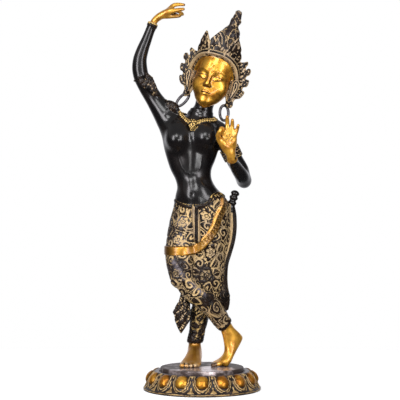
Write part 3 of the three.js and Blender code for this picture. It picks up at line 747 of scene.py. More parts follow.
WAIST_LINE = [
    (-60, -8, 420), (-44, -34, 410), (-20, -45, 407), (2, -44, 409), (14, -42, 415),
    (24, -38, 430), (40, -28, 437), (52, -8, 431), (54, 16, 426), (36, 38, 422), (0, 46, 418),
    (-40, 38, 418), (-58, 16, 420),
]
SASH_LINE = [
    (52, -20, 424), (51, -28, 408), (44, -44, 383), (36, -50, 361), (24, -54, 345), (9, -56, 331),
    (-9, -56, 317), (-26, -56, 311), (-48, -50, 310), (-70, -32, 310), (-78, -4, 311),
    (-74, 26, 316), (-50, 52, 326), (-14, 60, 342), (24, 58, 366), (50, 40, 392), (60, 14, 414),
]


def add_waistband(field):
    points, outs = draped(field, WAIST_LINE, 5, closed=True)
    field.add("hem", strap(points, outs, 3.4, 2.6, closed=True), 0.6)
    upper = points + [0, 0, 3.2] + 0.5 * outs
    field.add("rim", strap(upper, outs, 1.1, 1.4, closed=True), 0.5)


def add_sash(field):
    points, outs = draped(field, SASH_LINE, 5)
    field.add("sash", strap(points, outs, 9.2, 4.2, crown=0.2), 0.6)
    return points, outs


def add_sash_fall(field):
    knot = [(64, 12, 398), (67, 12, 413), (69, 12, 421.5), (72, 12, 430), (74, 12, 436)]
    axis = curve(knot, 4)
    radii = 8.6 + 1.5 * np.cos(np.linspace(0, 2 * np.pi * 3, len(axis)))
    field.add("knot", tube(np.column_stack([axis, radii, radii]), ends=(None, 8), steps=3), 0.8)
    fall = [
        (65, 12, 414, 7, 5), (67, 8, 384, 11, 6), (67, 6, 355, 11, 6), (64, 5, 333, 11, 6),
        (56, 4, 304, 11, 6), (49.5, 4, 283, 11, 6), (46, 5, 254, 12, 6), (46.5, 7, 225, 13, 6.5),
        (49, 9, 203, 16, 7), (52, 12, 196, 12, 6), (54, 14, 176, 5, 4),
    ]
    field.add("fall", pleats(fall, 4, np.array([0.8, 0.6, 0])), 0.8)


def add_front_pleats(field):
    stations = [
        (-16, -40, 408, 6, 5), (-14, -46, 388, 7, 6), (-12, -48, 360, 7.4, 6),
        (-11, -48, 332, 6, 6),
    ]
    field.add("pleat", pleats(stations, 3, X), 0.8)


def pleats(stations, ridges, side, steps=4):
    """A strip of folded cloth with a flat back and rounded ridges on its front."""
    rows = smoothed(stations, steps)
    middles, a, b = rows[:, :3], rows[:, 3], rows[:, 4]
    along = unit(np.gradient(middles, axis=0))
    wide = unit(side - (along @ side)[:, None] * along)
    deep = np.cross(along, wide)
    return [
        pleat_span(middles[i], middles[i + 1] - middles[i], unit(wide[i] + wide[i + 1]),
                   unit(deep[i] + deep[i + 1]), a[i : i + 2], b[i : i + 2], ridges)
        for i in range(len(rows) - 1)
    ]


def pleat_span(start, reach, u_axis, v_axis, a, b, ridges):
    length = float(np.linalg.norm(reach))
    axis = reach / length

    def distance(x, y, z):
        w, u, v = in_frame(x, y, z, start, (axis, u_axis, v_axis))
        t = np.clip(w / length, 0, 1)
        at, bt = a[0] + (a[1] - a[0]) * t, b[0] + (b[1] - b[0]) * t
        wave = abs(np.sin(np.pi * ridges * (u / at + 1) / 2))
        front = bt * (0.45 + 0.55 * wave)
        over = abs(u) - at + 1
        high = np.where(v > 0, v - front, -v - 1.6 * bt) + 1
        beyond = np.maximum(np.maximum(-w, w - length), 0)
        return 0.8 * rounded(over, high, beyond, 1)

    half = abs(u_axis) * max(a) + abs(v_axis) * 1.6 * max(b)
    ends = np.array([start, start + reach])
    return ends.min(0) - half, ends.max(0) + half, distance


KERCHIEF_OUTLINE = [
    (-30, 226), (-27, 198), (-26.6, 153), (-31.3, 147), (-40.3, 133), (-47, 123.5),
    (-53.7, 135.5), (-60.5, 153), (-61.5, 164), (-65, 171), (-58.2, 184.6), (-49.2, 200),
    (-44, 226),
]


def add_kerchief(field):
    sheet = plate(KERCHIEF_OUTLINE, (0, 8.5, 0), np.eye(3), 3.4)
    field.add("kerchief", sheet, 0.6)
    fold = [
        (-37, 4, 226, 6, 4), (-42, 5, 196, 9, 4.6), (-46, 5, 168, 12, 4.6), (-46.6, 5, 146, 7, 4),
    ]
    field.add("kerchief", pleats(fold, 2, X), 0.8)


# The feet


# Which way the raised foot's toes point, where the first ones begin, and their tips' height
TOES = (-0.92, -0.39, 0)
TOE_ROOT = (35, 7, 57.4)
TOE_LIFT = 3.6
# The flat foot's toes: [x, y of the tip, radius]
FLAT_TOES = [
    (-44.4, -29, 6.2), (-33.8, -31, 5), (-24.6, -29, 4.6), (-15.8, -24.6, 4.4), (-8, -18, 4.2),
]


def add_raised_heel_foot(field):
    heading = unit(TOES)
    across = np.array([-TOES[1], TOES[0], 0])
    heel = [
        (50, 14, 148, 14, 14), (56, 17.5, 135, 16.5, 13.4), (64, 21, 123, 21, 13.6),
        (69.4, 23.6, 112, 23.6, 13.6), (68.5, 23.2, 101, 20.4, 13.2), (65, 21.4, 87, 15, 13.8),
        (59, 18.4, 72, 12, 15.6), (53.6, 15.4, 62, 11.2, 17), (51, 14, 55, 8, 15),
    ]
    field.add("foot", tube(heel, side=heading, up=Z), 1.5, reach=9)
    fore = [(54, 16, 65, 14.5, 9), (44, 11, 61, 15.6, 7.4), (34, 6, 57.6, 15.4, 5.6)]
    field.add("foot", tube(fore, side=across), 8)
    for i in range(5):
        radius = 5.2 if i == 0 else 4.3 - i * 0.2
        start = np.array(TOE_ROOT) + across * (2 - i) * 6.6
        tip = start + heading * (17 - 2.2 * i)
        middle = (start + tip) / 2
        toe = [
            (*start, radius),
            (middle[0], middle[1], (start[2] + SOLE_Z + TOE_LIFT) / 2 + 0.4, radius * 0.88),
            (tip[0], tip[1], SOLE_Z + TOE_LIFT, radius * 0.92),
        ]
        field.add("foot", tube(toe), 3)


def add_flat_foot(field):
    foot = [
        (-14, 76, 60, 8, 7), (-14.4, 70, 64, 13.4, 14.4), (-15, 60, 70, 14.6, 21),
        (-16, 49, 74, 15.4, 25.6), (-18, 31, 70, 16.8, 20.6), (-20.6, 12, 64, 19.8, 14.2),
        (-24, -7, 58.6, 22.6, 9), (-25.4, -14, 56.6, 22, 6.4),
    ]
    ankle = [(-16, 48, 104, 13.6, 14.6), (-17, 48, 84, 13.2, 14.8), (-16.6, 48, 66, 15, 17)]
    field.add("flat foot", tube(foot, ends=(2, None)), 1.5, reach=8)
    field.add("flat foot", tube(ankle, up=Z), 7)
    for x, tip, radius in FLAT_TOES:
        toe = [
            (0.86 * x - 3, tip + 24, 58, radius), (x, tip + 10, 56.6, radius * 0.84),
            (x, tip + 3, 54.8, radius * 0.96),
        ]
        field.add("flat foot", tube(toe), 1.6)


# The collar, the ear rings and the fine chains


COLLAR_LINE = [
    (-56, 0, 626), (-47, -16, 616), (-34, -28, 601), (-20, -36, 592), (-3, -34, 595),
    (16, -26, 597), (30, -6, 599), (20, 26, 604), (-10, 34, 608), (-40, 24, 616),
]
# The middle of the collar's drop, [x, z]
DROP_CENTRE = (-20.5, 595)


def add_collar(field):
    points = field.settle(curve(COLLAR_LINE, 6, closed=True), 6)
    outs = unit(field.slope(points))
    for _ in range(8):
        points = (points + np.roll(points, 1, 0) + np.roll(points, -1, 0)) / 3
        outs = unit(outs + np.roll(outs, 1, 0) + np.roll(outs, -1, 0))
    field.add("collar", strap(points, outs, 5.4, 3.4, closed=True), 0.8)
    top = (DROP_CENTRE[0], -38, DROP_CENTRE[1], 8.6, 5)
    drop = [top, (-21.5, -42, 587, 8, 4.6), (-23.4, -43, 577, 2, 2)]
    field.add("drop", tube(drop), 0.8)
    return points, outs


# Fine raised lines on the shoulders: [x, z] places
FINE_LINES = [
    [(35.7, 591), (29, 582), (20, 570)],
    [(-56, 627), (-56, 615), (-53.6, 603)],
    [(-76, 625), (-80, 618), (-82.7, 610)],
]


def add_fine_lines(field):
    for places in FINE_LINES:
        line = on_front(field, places, 5)
        radii = np.linspace(1.7, 1.3, len(line))
        field.add("cord", tube(np.column_stack([line, radii, radii]), steps=1), 0.8)


def add_ear_rings(field):
    left, right = ((-43, -4, 646), 7.6, 18.4, -43), ((49, -20, 615), 9.4, 16.6, 0)
    for centre, wide, tall, lean in (left, right):
        field.add("steel", ring(centre, wide, tall, 3.2, turned("Y", -lean)), 0.6)
    for lobe, end in (((-49, EAR_Y, -44), (-31, -5, 658)), ((50, EAR_Y, -42), (50, -20, 631))):
        field.add("steel", tube([(*at_head(lobe), 3, 3), (*end, 2.6, 2.6)], steps=2), 1)


# The head, in its own frame

HEAD3 = turned("Y", HEAD_TILT) @ turned("Z", HEAD_TURN) @ turned("X", HEAD_NOD)


def at_head(point):
    return np.array(HEAD_CENTRE) + HEAD3 @ np.asarray(point, float)


def in_head(points):
    """The opposite of at_head, for many points."""
    return (points - np.array(HEAD_CENTRE)) @ HEAD3


def head_tube(stations, level=False, **options):
    placed = [(*at_head(s[:3]), *s[3:]) for s in stations]
    return tube(placed, side=HEAD3[:, 0], up=HEAD3[:, 2] if level else None, **options)


def head_ball(centre, radii, frame3=np.eye(3)):
    return ball(at_head(centre), radii, HEAD3 @ frame3)


def add_face(field):
    mask = [
        (0, -33, -66, 9, 8), (0, -29, -60, 19, 17), (0, -20, -46, 31, 28.4),
        (0, -10, -26, 39, 39), (0, -3, 0, 43, 45.5), (0, 0, 24, 43, 47), (0, 2, 44, 38, 43.6),
        (0, 4, 58, 26, 32),
    ]
    field.add("face", head_tube(mask, level=True, steps=5, ends=(5, None)), 2, reach=10)
    field.add("face", head_ball((0, -36, -55), (13, 11, 9)), 9)
    field.add("face", head_ball((0, -39, -36), (15, 9, 11)), 8)
    for s in (-1, 1):
        field.add("face", head_ball((23 * s, -27, -22), (17, 14, 18)), 9)
        field.cut(head_ball((17.5 * s, -51.5, 0.5), (13, 8.4, 7.4), turned("Y", -8 * s)), 6)
        field.add("face", head_ball((17 * s, -36.6, -2), (11.4, 8.8, 7.4)), 3)
    bridge = [
        (0, -44, 13, 3.6, 4), (0, -47.5, 1, 3.4, 4), (0, -50.6, -9, 4, 4.4),
        (0, -53.4, -17.4, 4.8, 4.6),
    ]
    field.add("face", head_tube(bridge), 5)
    for s in (-1, 1):
        field.add("face", head_ball((5.4 * s, -48.6, -20.4), (3.8, 5, 3.8)), 2.6)
        brow = [
            (5 * s, -45.6, 9.5, 1.2), (13 * s, -44.6, 14.4, 1.3), (23 * s, -41, 14.6, 1.2),
            (33 * s, -34, 9.6, 0.8),
        ]
        field.add("face", head_tube(brow), 3.2)
        lid = [
            (7.4 * s, -43.2, -4.4, 0.9), (13 * s, -45.2, -5.4, 1.2), (19 * s, -44.6, -5.0, 1.2),
            (27.6 * s, -39.2, -1.6, 0.8),
        ]
        field.add("face", head_tube(lid), 0.9)
        field.add("face", head_ball((3.6 * s, -49.2, -33.8), (6.6, 3.0, 2.4),
                                    turned("Y", 12 * s)), 1.2)
    field.add("face", head_ball((0, -48.4, -39.4), (8, 3.6, 3.1)), 1.2)
    field.add("face", head_ball((0, -46.4, 25), (3.2, 2.4, 3.2)), 0.8)


# Fine lines that are cut into the face, in the head's frame: the mouth, then on each side the
# lower lid, the upper lid and two lines of the nose
MOUTH_CUT = [
    (-10.5, -47, -36.4), (-5, -51, -37), (0, -51, -36), (5, -51, -37), (10.5, -47, -36.4),
]
SIDE_CUTS = [
    [(8, -46, -6.6), (14, -47, -8.2), (20, -46, -7.6), (28, -41, -4)],
    [(8, -46, -0.5), (14, -47, 2), (21, -45, 1.6), (29, -40, -1.5)],
    [(2.4, -51, -24.4), (5.4, -50, -24)],
    [(9, -48, -19), (10, -46, -23)],
]


def face_cuts(field):
    """The face's cut lines, laid on its surface."""
    sides = [[(x * s, y, z) for x, y, z in cut] for cut in SIDE_CUTS for s in (-1, 1)]
    return [
        field.settle(curve([at_head(p) for p in places], 4), 6) for places in [MOUTH_CUT] + sides
    ]


EAR_OUTLINE = [
    (48, -9), (48, -1), (52, 5), (58, 6), (63, 0), (64, -10), (61, -22), (56, -35), (51, -45),
    (46.5, -45), (46, -36), (48, -22),
]
EAR_Y = -20


def nested_lines(u, w, depth):
    """An outline, and one more line inside it."""
    return 1 - np.maximum(groove(depth, 1.3), groove(depth - 5.2, 0.8))


def groove(away, half):
    """1 in the middle of a line and 0 away from it."""
    return 1 - ramp(abs(away), 0.6 * half, 1.5 * half)


def add_ears(field):
    """Long ears that stand out in front of the crown's wings."""
    for side in (-1, 1):
        outline = curled(np.array(EAR_OUTLINE) * [side, 1])
        add_crown_plate(field, f"ear{side}", outline, (0, EAR_Y, 0), HEAD3, nested_lines)
        root = [(46 * side, -12, 0, 6, 7), (50 * side, -14, -14, 6, 7), (47 * side, -13, -32, 4, 7)]
        field.add("hair", head_tube(root), 1)


# One side of a crown leaf, as shares of its width and height
LEAF_SIDE = [
    (0.3, 0), (0.47, 0.1), (0.5, 0.24), (0.44, 0.38), (0.36, 0.48), (0.36, 0.56), (0.27, 0.7),
    (0.14, 0.86),
]


def leaf_outline(width, height):
    half = np.array([(x * width, z * height) for x, z in LEAF_SIDE])
    return np.vstack([half, [(0, height)], (half * [-1, 1])[::-1]])


def leaf_relief(width, height):
    """Dark raised work with fine cream lines in it: an outline, a jewel's setting, a flame over
    it, and two curls beside it."""
    def relief(u, w, depth):
        jewel = np.hypot(u, w - 0.26 * height) - 0.15 * width
        boss = 1.4 * (1 - ramp(jewel, -0.09 * width, 0))
        flame = abs(u) - 0.15 * width * np.sqrt(np.clip((0.8 * height - w) / (0.34 * height), 0, 1))
        above = ramp(w, 0.44 * height, 0.47 * height) * (1 - ramp(w, 0.8 * height, 0.84 * height))
        curl_u, curl_w = abs(u) - 0.31 * width, w - 0.2 * height
        r, angle = np.hypot(curl_u, curl_w), np.arctan2(curl_w, curl_u)
        swirl = ramp(np.cos(2 * np.pi * (r / 6.5 + angle / (2 * np.pi))), 0.35, 0.8)
        curl = swirl * (1 - ramp(r, 0.15 * width, 0.19 * width))
        lines = [groove(depth, 1.5), groove(jewel, 1.0), groove(flame, 0.9) * above, curl]
        return np.maximum(1.1 * (1 - np.maximum.reduce(lines)), boss)

    return relief


def add_crown_leaf(field, around, lean, radius, foot, width, height):
    frame3 = HEAD3 @ turned("Z", around) @ turned("X", lean)
    place = np.array([0, 4, foot]) + turned("Z", around) @ np.array([0, -radius, 0])
    add_crown_plate(field, f"leaf{around}", curled(leaf_outline(width, height)), place, frame3,
                    leaf_relief(width, height))


def add_crown_plate(field, name, outline, place, frame3, relief):
    """A carved plate of the crown, which keeps its own pattern for its paint."""
    centre = at_head(place)
    field.add(name, plate(outline, centre, frame3, 2.1, relief), 0.8)

    def pattern(points):
        u, _, w = ((points - centre) @ frame3).T
        return relief(u, w, -outline_distance(u, w, outline))

    field.patterns[name] = pattern


WING_OUTLINE = [
    (42, -48), (47, -55), (55, -57), (59, -50), (58, -42), (61, -35), (69, -32), (75, -24),
    (76.5, -14), (71, -12), (72, -5), (78, -3), (81, 5), (80, 13), (72, 14), (73, 20), (78, 24),
    (77, 37), (72, 38), (67.5, 33), (66, 39), (69, 45), (66.5, 52), (60, 49), (54, 47), (40, 54),
]
WING_Y = -14
# The tongues of flame of a wing: [across, height] down the middle of each
WING_FLAMES = [
    [(48, -30), (51, -44), (55, -52)],
    [(54, -26), (64, -28), (72, -17)],
    [(56, -10), (66, -10), (72, 0), (77, 8)],
    [(57, 8), (65, 8), (72, 20), (75, 33)],
    [(58, 24), (61, 27), (65, 36), (66, 47)],
    [(46, 42), (52, 38), (58, 44)],
]


def add_wing(field, side):
    lines = [curled(line, closed=False) for line in WING_FLAMES]

    def relief(u, w, depth):
        near = np.minimum.reduce([line_distance(u * side, w, line) for line in lines])
        tongue = (1 - ramp(near, 4.7, 5.9)) * (1 - 0.6 * groove(near, 0.6))
        return 1.2 * ramp(depth, 0.9, 1.9) * tongue

    outline = curled(np.array(WING_OUTLINE) * [side, 1])
    add_crown_plate(field, f"wing{side}", outline, (0, WING_Y, 0), HEAD3, relief)


# The crown's band round the head, in the head's frame: top, one side, back
BAND = [
    (0, -47, 53), (28, -41, 49), (47, -28, 33), (56, -18, 8), (53, 4, -10), (32, 46, -4),
    (0, 58, 2),
]
BAND_MIDDLE = (0, 6, 0)


def head_loop(inward):
    """A closed line round the head, `inward` millimetres inside the crown's band, the same on
    both sides, and its outward directions."""
    half = np.array(BAND, float)
    half = half - inward * unit(half - BAND_MIDDLE)
    mirrored = (half[1:-1] * [-1, 1, 1])[::-1]
    loop = curve(np.vstack([half, mirrored]), 6, closed=True)
    outs = unit(loop * [1, 1, 0] + [0, 0, 14])
    return np.array([at_head(p) for p in loop]), outs @ HEAD3.T


def add_crown_band(field):
    """The gilded edge under the hair, the narrow strip of hair, and the crown's band over it."""
    field.add("face", strap(*head_loop(12), 4.6, 2.6, closed=True), 2.5)
    field.add("hair", strap(*head_loop(7.4), 2.6, 3.4, closed=True, crown=0.2), 0.8)
    points, outs = head_loop(0)
    field.add("arch", strap(points, outs, 4.6, 3.6, closed=True, crown=0.1), 0.8)
    return points, outs


TOPKNOT = [
    (0, 20, 50, 30, 30), (0, 23, 78, 20.6, 20.6), (2, 26, 98, 21.2, 20.6),
    (3, 27, 111, 17.6, 17.2), (4, 28, 123, 9.6, 9.8), (6, 30, 134, 11.2, 11.2),
    (6, 32, 143, 8.2, 8.2), (6, 34, 152, 6.8, 6.8),
]


def add_hair(field):
    field.add("hair", head_ball((0, 8, 12), (47.6, 49.6, 54.6)), 1)
    field.add("topknot", head_tube(TOPKNOT, level=True, ends=(None, 6)), 2)


# The crown's three leaves: [degrees round, lean, radius, foot's height, width, height]
CROWN_LEAVES = [
    (0, 2, 45, 46, 58, 58), (-40, 7, 48, 42, 46, 54), (44, 7, 48, 42, 46, 54),
]


def add_head(field):
    add_face(field)
    add_hair(field)
    add_ears(field)
    for leaf in CROWN_LEAVES:
        add_crown_leaf(field, *leaf)
    for side in (-1, 1):
        add_wing(field, side)
    return add_crown_band(field)


def figure_field():
    """The whole figure, and the lines that its straps follow."""
    field = Field(FIELD_LOW, FIELD_HIGH, CELL)
    add_trunk(field)
    add_legs(field)
    add_skirt(field)
    lines = {"sash": add_sash(field)}
    add_waistband(field)
    add_front_cord(field)
    add_front_pleats(field)
    add_sash_fall(field)
    add_raised_arm(field)
    add_bent_arm(field)
    add_raised_hand(field)
    add_gesture_hand(field)
    add_kerchief(field)
    add_raised_heel_foot(field)
    add_flat_foot(field)
    lines["collar"] = add_collar(field)
    add_fine_lines(field)
    add_ear_rings(field)
    lines["arch"] = add_head(field)
    lines["face"] = face_cuts(field)
    z = field.axes((0, 0, 0), field.shape)[2]
    np.maximum(field.value, SOLE_Z - z, out=field.value)
    return field, lines


# Low relief and paint

CLOTH_PARTS = ["cloth", "kerchief", "pleat", "fall"]
GILT_PARTS = ["hand", "foot", "flat foot", "face", "sash"]
DARK_PARTS = ["skin", "throat", "knot", "cord"]
TRIM_PARTS = ["hem", "rim", "lattice", "crest", "collar", "drop", "arch", "hair", "topknot"]

MEDALLION_RADIUS = 21
# Raised roses on the cloth: [x, y, z, radius], with x, y and z only roughly on it
ROSES = [
    (-44, -40, 374, 14), (-48, -40, 334, 13), (9, -50, 387, 13), (26, -50, 306, 14),
    (-42, -40, 262, 13), (9, -40, 257, 16), (31, -30, 181, MEDALLION_RADIUS), (-60, 30, 350, 14),
    (56, 40, 330, 14), (-20, 60, 372, 15), (20, 60, 322, 15), (-34, 56, 290, 14),
    (4, 60, 262, 14),
]
CURL_SPACING = 20.0
PLACES_TRIED = 9000
ROSE, CURL, LEAF = range(3)


def spread(points, spacing, taken, taken_room):
    """Picks points that keep `spacing` between them and room round those already taken."""
    chosen = []
    for p in points:
        if np.any(np.linalg.norm(taken - p, axis=1) < taken_room):
            continue
        if chosen and np.min(np.linalg.norm(np.array(chosen) - p, axis=1)) < spacing:
            continue
        chosen.append(p)
    return np.array(chosen)


class Scrollwork:
    """Roses, curls and leaves all over the cloth, each in the tangent plane of its own seed."""

    def __init__(self, field, points):
        rng = np.random.default_rng(11)
        rough = np.array(ROSES, float)
        roses, _ = field.seen_from(on_hip_axis(rough[:, 2]), rough[:, :3])
        tried = min(PLACES_TRIED, len(points))
        candidates = points[rng.choice(len(points), tried, replace=False)]
        room = rough[:, 3] + CURL_SPACING * 0.45
        curls = spread(candidates, CURL_SPACING, roses, room)
        self.middle = np.vstack([roses, curls])
        self.radius = np.concatenate([rough[:, 3], np.full(len(curls), CURL_SPACING * 0.56)])
        self.kind = np.concatenate([np.full(len(roses), ROSE),
                                    rng.choice([CURL, CURL, LEAF], len(curls))])
        self.hand = rng.choice([-1.0, 1.0], len(self.middle))
        self.fullness = rng.uniform(-0.3, 0.65, len(self.middle))
        normal = unit(field.slope(self.middle))
        turn = rng.uniform(0, 2 * np.pi, len(self.middle))[:, None]
        flat = unit(np.cross(normal, np.where(abs(normal[:, 2:]) < 0.9, Z, X)))
        other = np.cross(normal, flat)
        self.u_axis = flat * np.cos(turn) + other * np.sin(turn)
        self.v_axis = np.cross(normal, self.u_axis)

    def nearest(self, points):
        """The seed of each point, and how far the point is from its cell's border."""
        seed = np.zeros(len(points), int)
        border = np.zeros(len(points))
        for first in range(0, len(points), CHUNK):
            some = points[first : first + CHUNK]
            gap = np.linalg.norm(some[:, None] - self.middle[None], axis=2) - self.radius
            order = np.argpartition(gap, 1, axis=1)[:, :2]
            pair = np.take_along_axis(gap, order, 1)
            swap = pair[:, 0] > pair[:, 1]
            order[swap], pair[swap] = order[swap, ::-1], pair[swap, ::-1]
            seed[first : first + CHUNK] = order[:, 0]
            border[first : first + CHUNK] = (pair[:, 1] - pair[:, 0]) / 2
        return seed, border

    def __call__(self, points):
        """How raised the pattern is at each point, from 0, the ground, to 1."""
        bent = 0.045 * points[:, (1, 2, 0)] + 0.06 * points[:, (2, 0, 1)]
        points = points + 2.4 * np.sin(bent * 2.6)
        seed, border = self.nearest(points)
        away = points - self.middle[seed]
        u = (away * self.u_axis[seed]).sum(1)
        v = (away * self.v_axis[seed]).sum(1) * self.hand[seed]
        r, angle = np.hypot(u, v), np.arctan2(v, u)
        size, kind = self.radius[seed], self.kind[seed]
        rose = rose_height(r, angle, size)
        curl = curl_height(r, angle, size, self.fullness[seed])
        leaf = leaf_height(u, v, size)
        raised = np.where(kind == ROSE, rose, np.where(kind == CURL, curl, leaf))
        raised = np.where(size == MEDALLION_RADIUS, medallion_height(r, angle, size), raised)
        x, y, z = points.T
        sprig = (np.sin(0.5 * x + 1.7 * np.sin(0.23 * z))
                 * np.sin(0.46 * z + 1.9 * np.sin(0.2 * y)))
        outside = ramp(r, size, size + 1)
        filler = 1 - ramp(sprig, 0.3, 0.55)
        return ramp(border, 0.3, 1.1) * np.where(outside > 0.5, filler, raised)


def rose_height(r, angle, size):
    """Fine raised lines round a heart and its petals, inside a thick wavy ring."""
    swirl = np.cos(2 * np.pi * (r / 4.6 - angle / (2 * np.pi)))
    past_heart = ramp(r, 0.46 * size, 0.52 * size)
    heart = ramp(swirl, 0.2, 0.75) * (1 - past_heart)
    edge = size * (0.8 + 0.07 * np.cos(6 * angle + 0.5))
    outer = ramp(r, edge, edge + 1)
    petals = (1 - ramp(abs(np.sin(3 * angle + 0.12 * r)), 0.14, 0.3)) * past_heart
    return np.maximum.reduce([heart, petals * (1 - outer), outer])


def medallion_height(r, angle, size):
    """A broad spiral of two thin sunk lines, inside a sunk ring."""
    turns = r / 9.5 + angle / (2 * np.pi)
    spiral = groove((turns % 1 - 0.5) * 9.5, 1.0)
    twin = 0.8 * groove(((turns + 0.32) % 1 - 0.5) * 9.5, 0.5)
    ring = groove(r - 0.9 * size, 1.1)
    return 1 - np.maximum.reduce([np.maximum(spiral, twin) * (r < 0.86 * size), ring])


def curl_height(r, angle, size, fullness):
    """A raised scroll, thick where it is full."""
    phase = r / 8.8 - angle / (2 * np.pi)
    scroll = ramp(np.cos(2 * np.pi * phase) + fullness, -0.3, 0.25)
    return np.maximum(scroll, ramp(r, size - 0.6, size + 0.6))


def leaf_height(u, v, size):
    """A broad curved leaf with veins, on low ground."""
    v = v - 0.35 * size * ((u / size) ** 2 - 0.4)
    width = 0.62 * size * np.maximum(1 - (u / (1.02 * size)) ** 2, 0) * (1 + 0.35 * u / size)
    body = 1 - ramp(abs(v) - width, -0.6, 0.7)
    veins = np.maximum(groove(v, 0.6), 0.8 * ramp(np.sin(1.25 * (u + 0.9 * abs(v))), 0.7, 0.95))
    return np.maximum(body * (1 - veins), ramp(np.hypot(u, v), 1.05 * size, 1.05 * size + 1))


def along_line(points, line, outs, closed=False):
    """For points near a line: how far along it they are, how far across, and how far out."""
    if closed:
        line, outs = np.vstack([line, line[:1]]), np.vstack([outs, outs[:1]])
    start, reach = line[:-1], np.diff(line, axis=0)
    length = np.linalg.norm(reach, axis=1)
    axis = reach / length[:, None]
    up = unit(outs[:-1] + outs[1:])
    up = unit(up - (up * axis).sum(1)[:, None] * axis)
    across = np.cross(up, axis)
    done = np.concatenate([[0], np.cumsum(length)])
    made = np.zeros((len(points), 3))
    for first in range(0, len(points), CHUNK):
        some = points[first : first + CHUNK]
        away = some[:, None] - start[None]
        w = np.clip((away * axis).sum(2), 0, length)
        near = np.argmin(((away - w[..., None] * axis) ** 2).sum(2), axis=1)
        pick = np.arange(len(some)), near
        sides = [(away[pick] * axes[near]).sum(1) for axes in (across, up)]
        made[first : first + CHUNK] = np.stack([done[near] + w[pick], *sides], 1)
    return made, done[-1]


def gap_to(points, line):
    """Distance from points to an open line."""
    gap = np.full(len(points), 1e6)
    for start, end in zip(line, line[1:]):
        reach = end - start
        t = np.clip(((points - start) @ reach) / (reach @ reach), 0, 1)
        gap = np.minimum(gap, np.linalg.norm(points - start - t[:, None] * reach, axis=1))
    return gap


def beads(along, across, pitch, radius):
    """Round beads in a row along a line."""
    step = (along / pitch + 0.5) % 1 - 0.5
    return 1 - ramp(np.hypot(step * pitch, across), 0.7 * radius, 1.1 * radius)


def collar_pattern(points, lines):
    place, length = along_line(points, *lines["collar"], closed=True)
    along, across, _ = place.T
    pitch = length / round(length / 5.2)
    upper = beads(along, across - 2.8, pitch, 2.1)
    lower = beads(along + pitch / 2, across + 2.8, pitch, 2.1)
    return np.maximum(upper, lower)


def sash_pattern(points, lines):
    place, _ = along_line(points, *lines["sash"])
    along, across, _ = place.T
    border = ramp(abs(across), 6.0, 6.9)
    engraved = ramp(np.sin(0.85 * along + 1.3 * np.sin(0.55 * across + 0.21 * along))
                    * np.sin(0.7 * across + 0.3 * along), 0.0, 0.4)
    plain = ramp(along, 90, 150)
    return border, engraved * (1 - 0.85 * plain) * (1 - border), plain


def lattice_pattern(points, normals):
    """Diagonal crossing lines round an arm band."""
    around = np.arctan2(normals[:, 1], normals[:, 0])
    height = points[:, 2] * 0.42
    lines = np.minimum(abs(np.sin(3 * around + height)), abs(np.sin(3 * around - height)))
    return ramp(lines, 0.10, 0.28)


def knot_pattern(points):
    """Uneven rounded locks of hair on the topknot, with low lines between them."""
    u, v, w = in_head(points).T
    wind = (np.sin(0.3 * u + 1.6 * np.sin(0.13 * w + 0.5))
            + np.sin(0.24 * w + 1.5 * np.sin(0.2 * (u + v))))
    return ramp(abs(wind), 0.12, 0.42)


def hair_pattern(points):
    u, v, w = in_head(points).T
    around = np.arctan2(u, w + 10)
    return ramp(np.sin(70 * around + 2.2 * np.sin(0.3 * v)), -0.4, 0.5)


# Where the cloth keeps little cream: [x, z, radius, how dark]
DARK_PATCHES = [
    (-56, 272, 34, 0.9), (4, 258, 28, 0.9), (12, 202, 18, 1.0), (-72, 350, 24, 0.8),
    (-60, 392, 14, 0.7), (26, 372, 18, 0.8), (30, 330, 14, 0.5), (-16, 196, 14, 0.7),
]


def leg_shade(points):
    """How little cream the cloth has: the standing leg and the bent knee are nearly black."""
    x, y, z = points.T
    shade = 0.8 * (1 - ramp(z, 175, 225)) * ramp(y, 10, 30)
    for px, pz, radius, dark in DARK_PATCHES:
        past = ramp(np.hypot(x - px, z - pz), 0.55 * radius, 1.2 * radius)
        shade = np.maximum(shade, dark * (1 - past))
    return shade


def under_waist(points):
    """1 below the waistband, 0 above it."""
    line = curve(WAIST_LINE, 6, closed=True)
    around = np.arctan2(line[:, 1] - HIP_AXIS[1], line[:, 0] - HIP_AXIS[0])
    order = np.argsort(around)
    angle = np.arctan2(points[:, 1] - HIP_AXIS[1], points[:, 0] - HIP_AXIS[0])
    waist = np.interp(angle, around[order], line[order, 2], period=2 * np.pi)
    return 1 - ramp(points[:, 2] - waist, -1.5, 0.5)


# The smooth fold over the bent knee, where a grey sheen is painted on the lacquer: [x, z]
KNEE_FOLD = [(-64, 288), (-40, 254), (4, 214)]
# Heights on the legs where the paint changes
SHIN_Z = 210
LOW_LEG_Z = 200
ANKLE = (66, 84)
# Heights in the head's frame between which the face's form turns into hair
HAIR_LINE = (49, 52)
# Where a highlight is painted on the sash, and how far off a hollow is felt
SHINE_X = -44
HOLLOW_REACH = 3.0
# A box this far each way round the middle of a line cut into the face holds all that it reaches
FACE_CUT_ROOM = 20
# The middle of the open palm, [x, z], and how far forward its skin lies
PALM_CENTRE = (59, 557)
PALM_FRONT_Y = -72


def uneven(points):
    """A smooth field from -1 to 1, whose waves are about 12 mm across."""
    x, y, z = points.T
    return (np.sin(0.55 * x + 1.9 * np.sin(0.23 * z + 0.4))
            * np.sin(0.5 * z + 1.7 * np.sin(0.27 * (x + y))))


def part_shares(field, points):
    """How much of each point belongs to each part. Skin under the waistband counts as cloth, and
    the face's form above the hair line as hair."""
    share = {name: field.shares(points, [name]) for name in field.names[1:]}
    wrapped = share["skin"] * under_waist(points) * (points[:, 2] > SKIRT_Z)
    covered = share["face"] * ramp(in_head(points)[:, 2], *HAIR_LINE)
    for old, new, moved in (("skin", "cloth", wrapped), ("face", "hair", covered)):
        share[old] = share[old] - moved
        share[new] = share[new] + moved
    return share


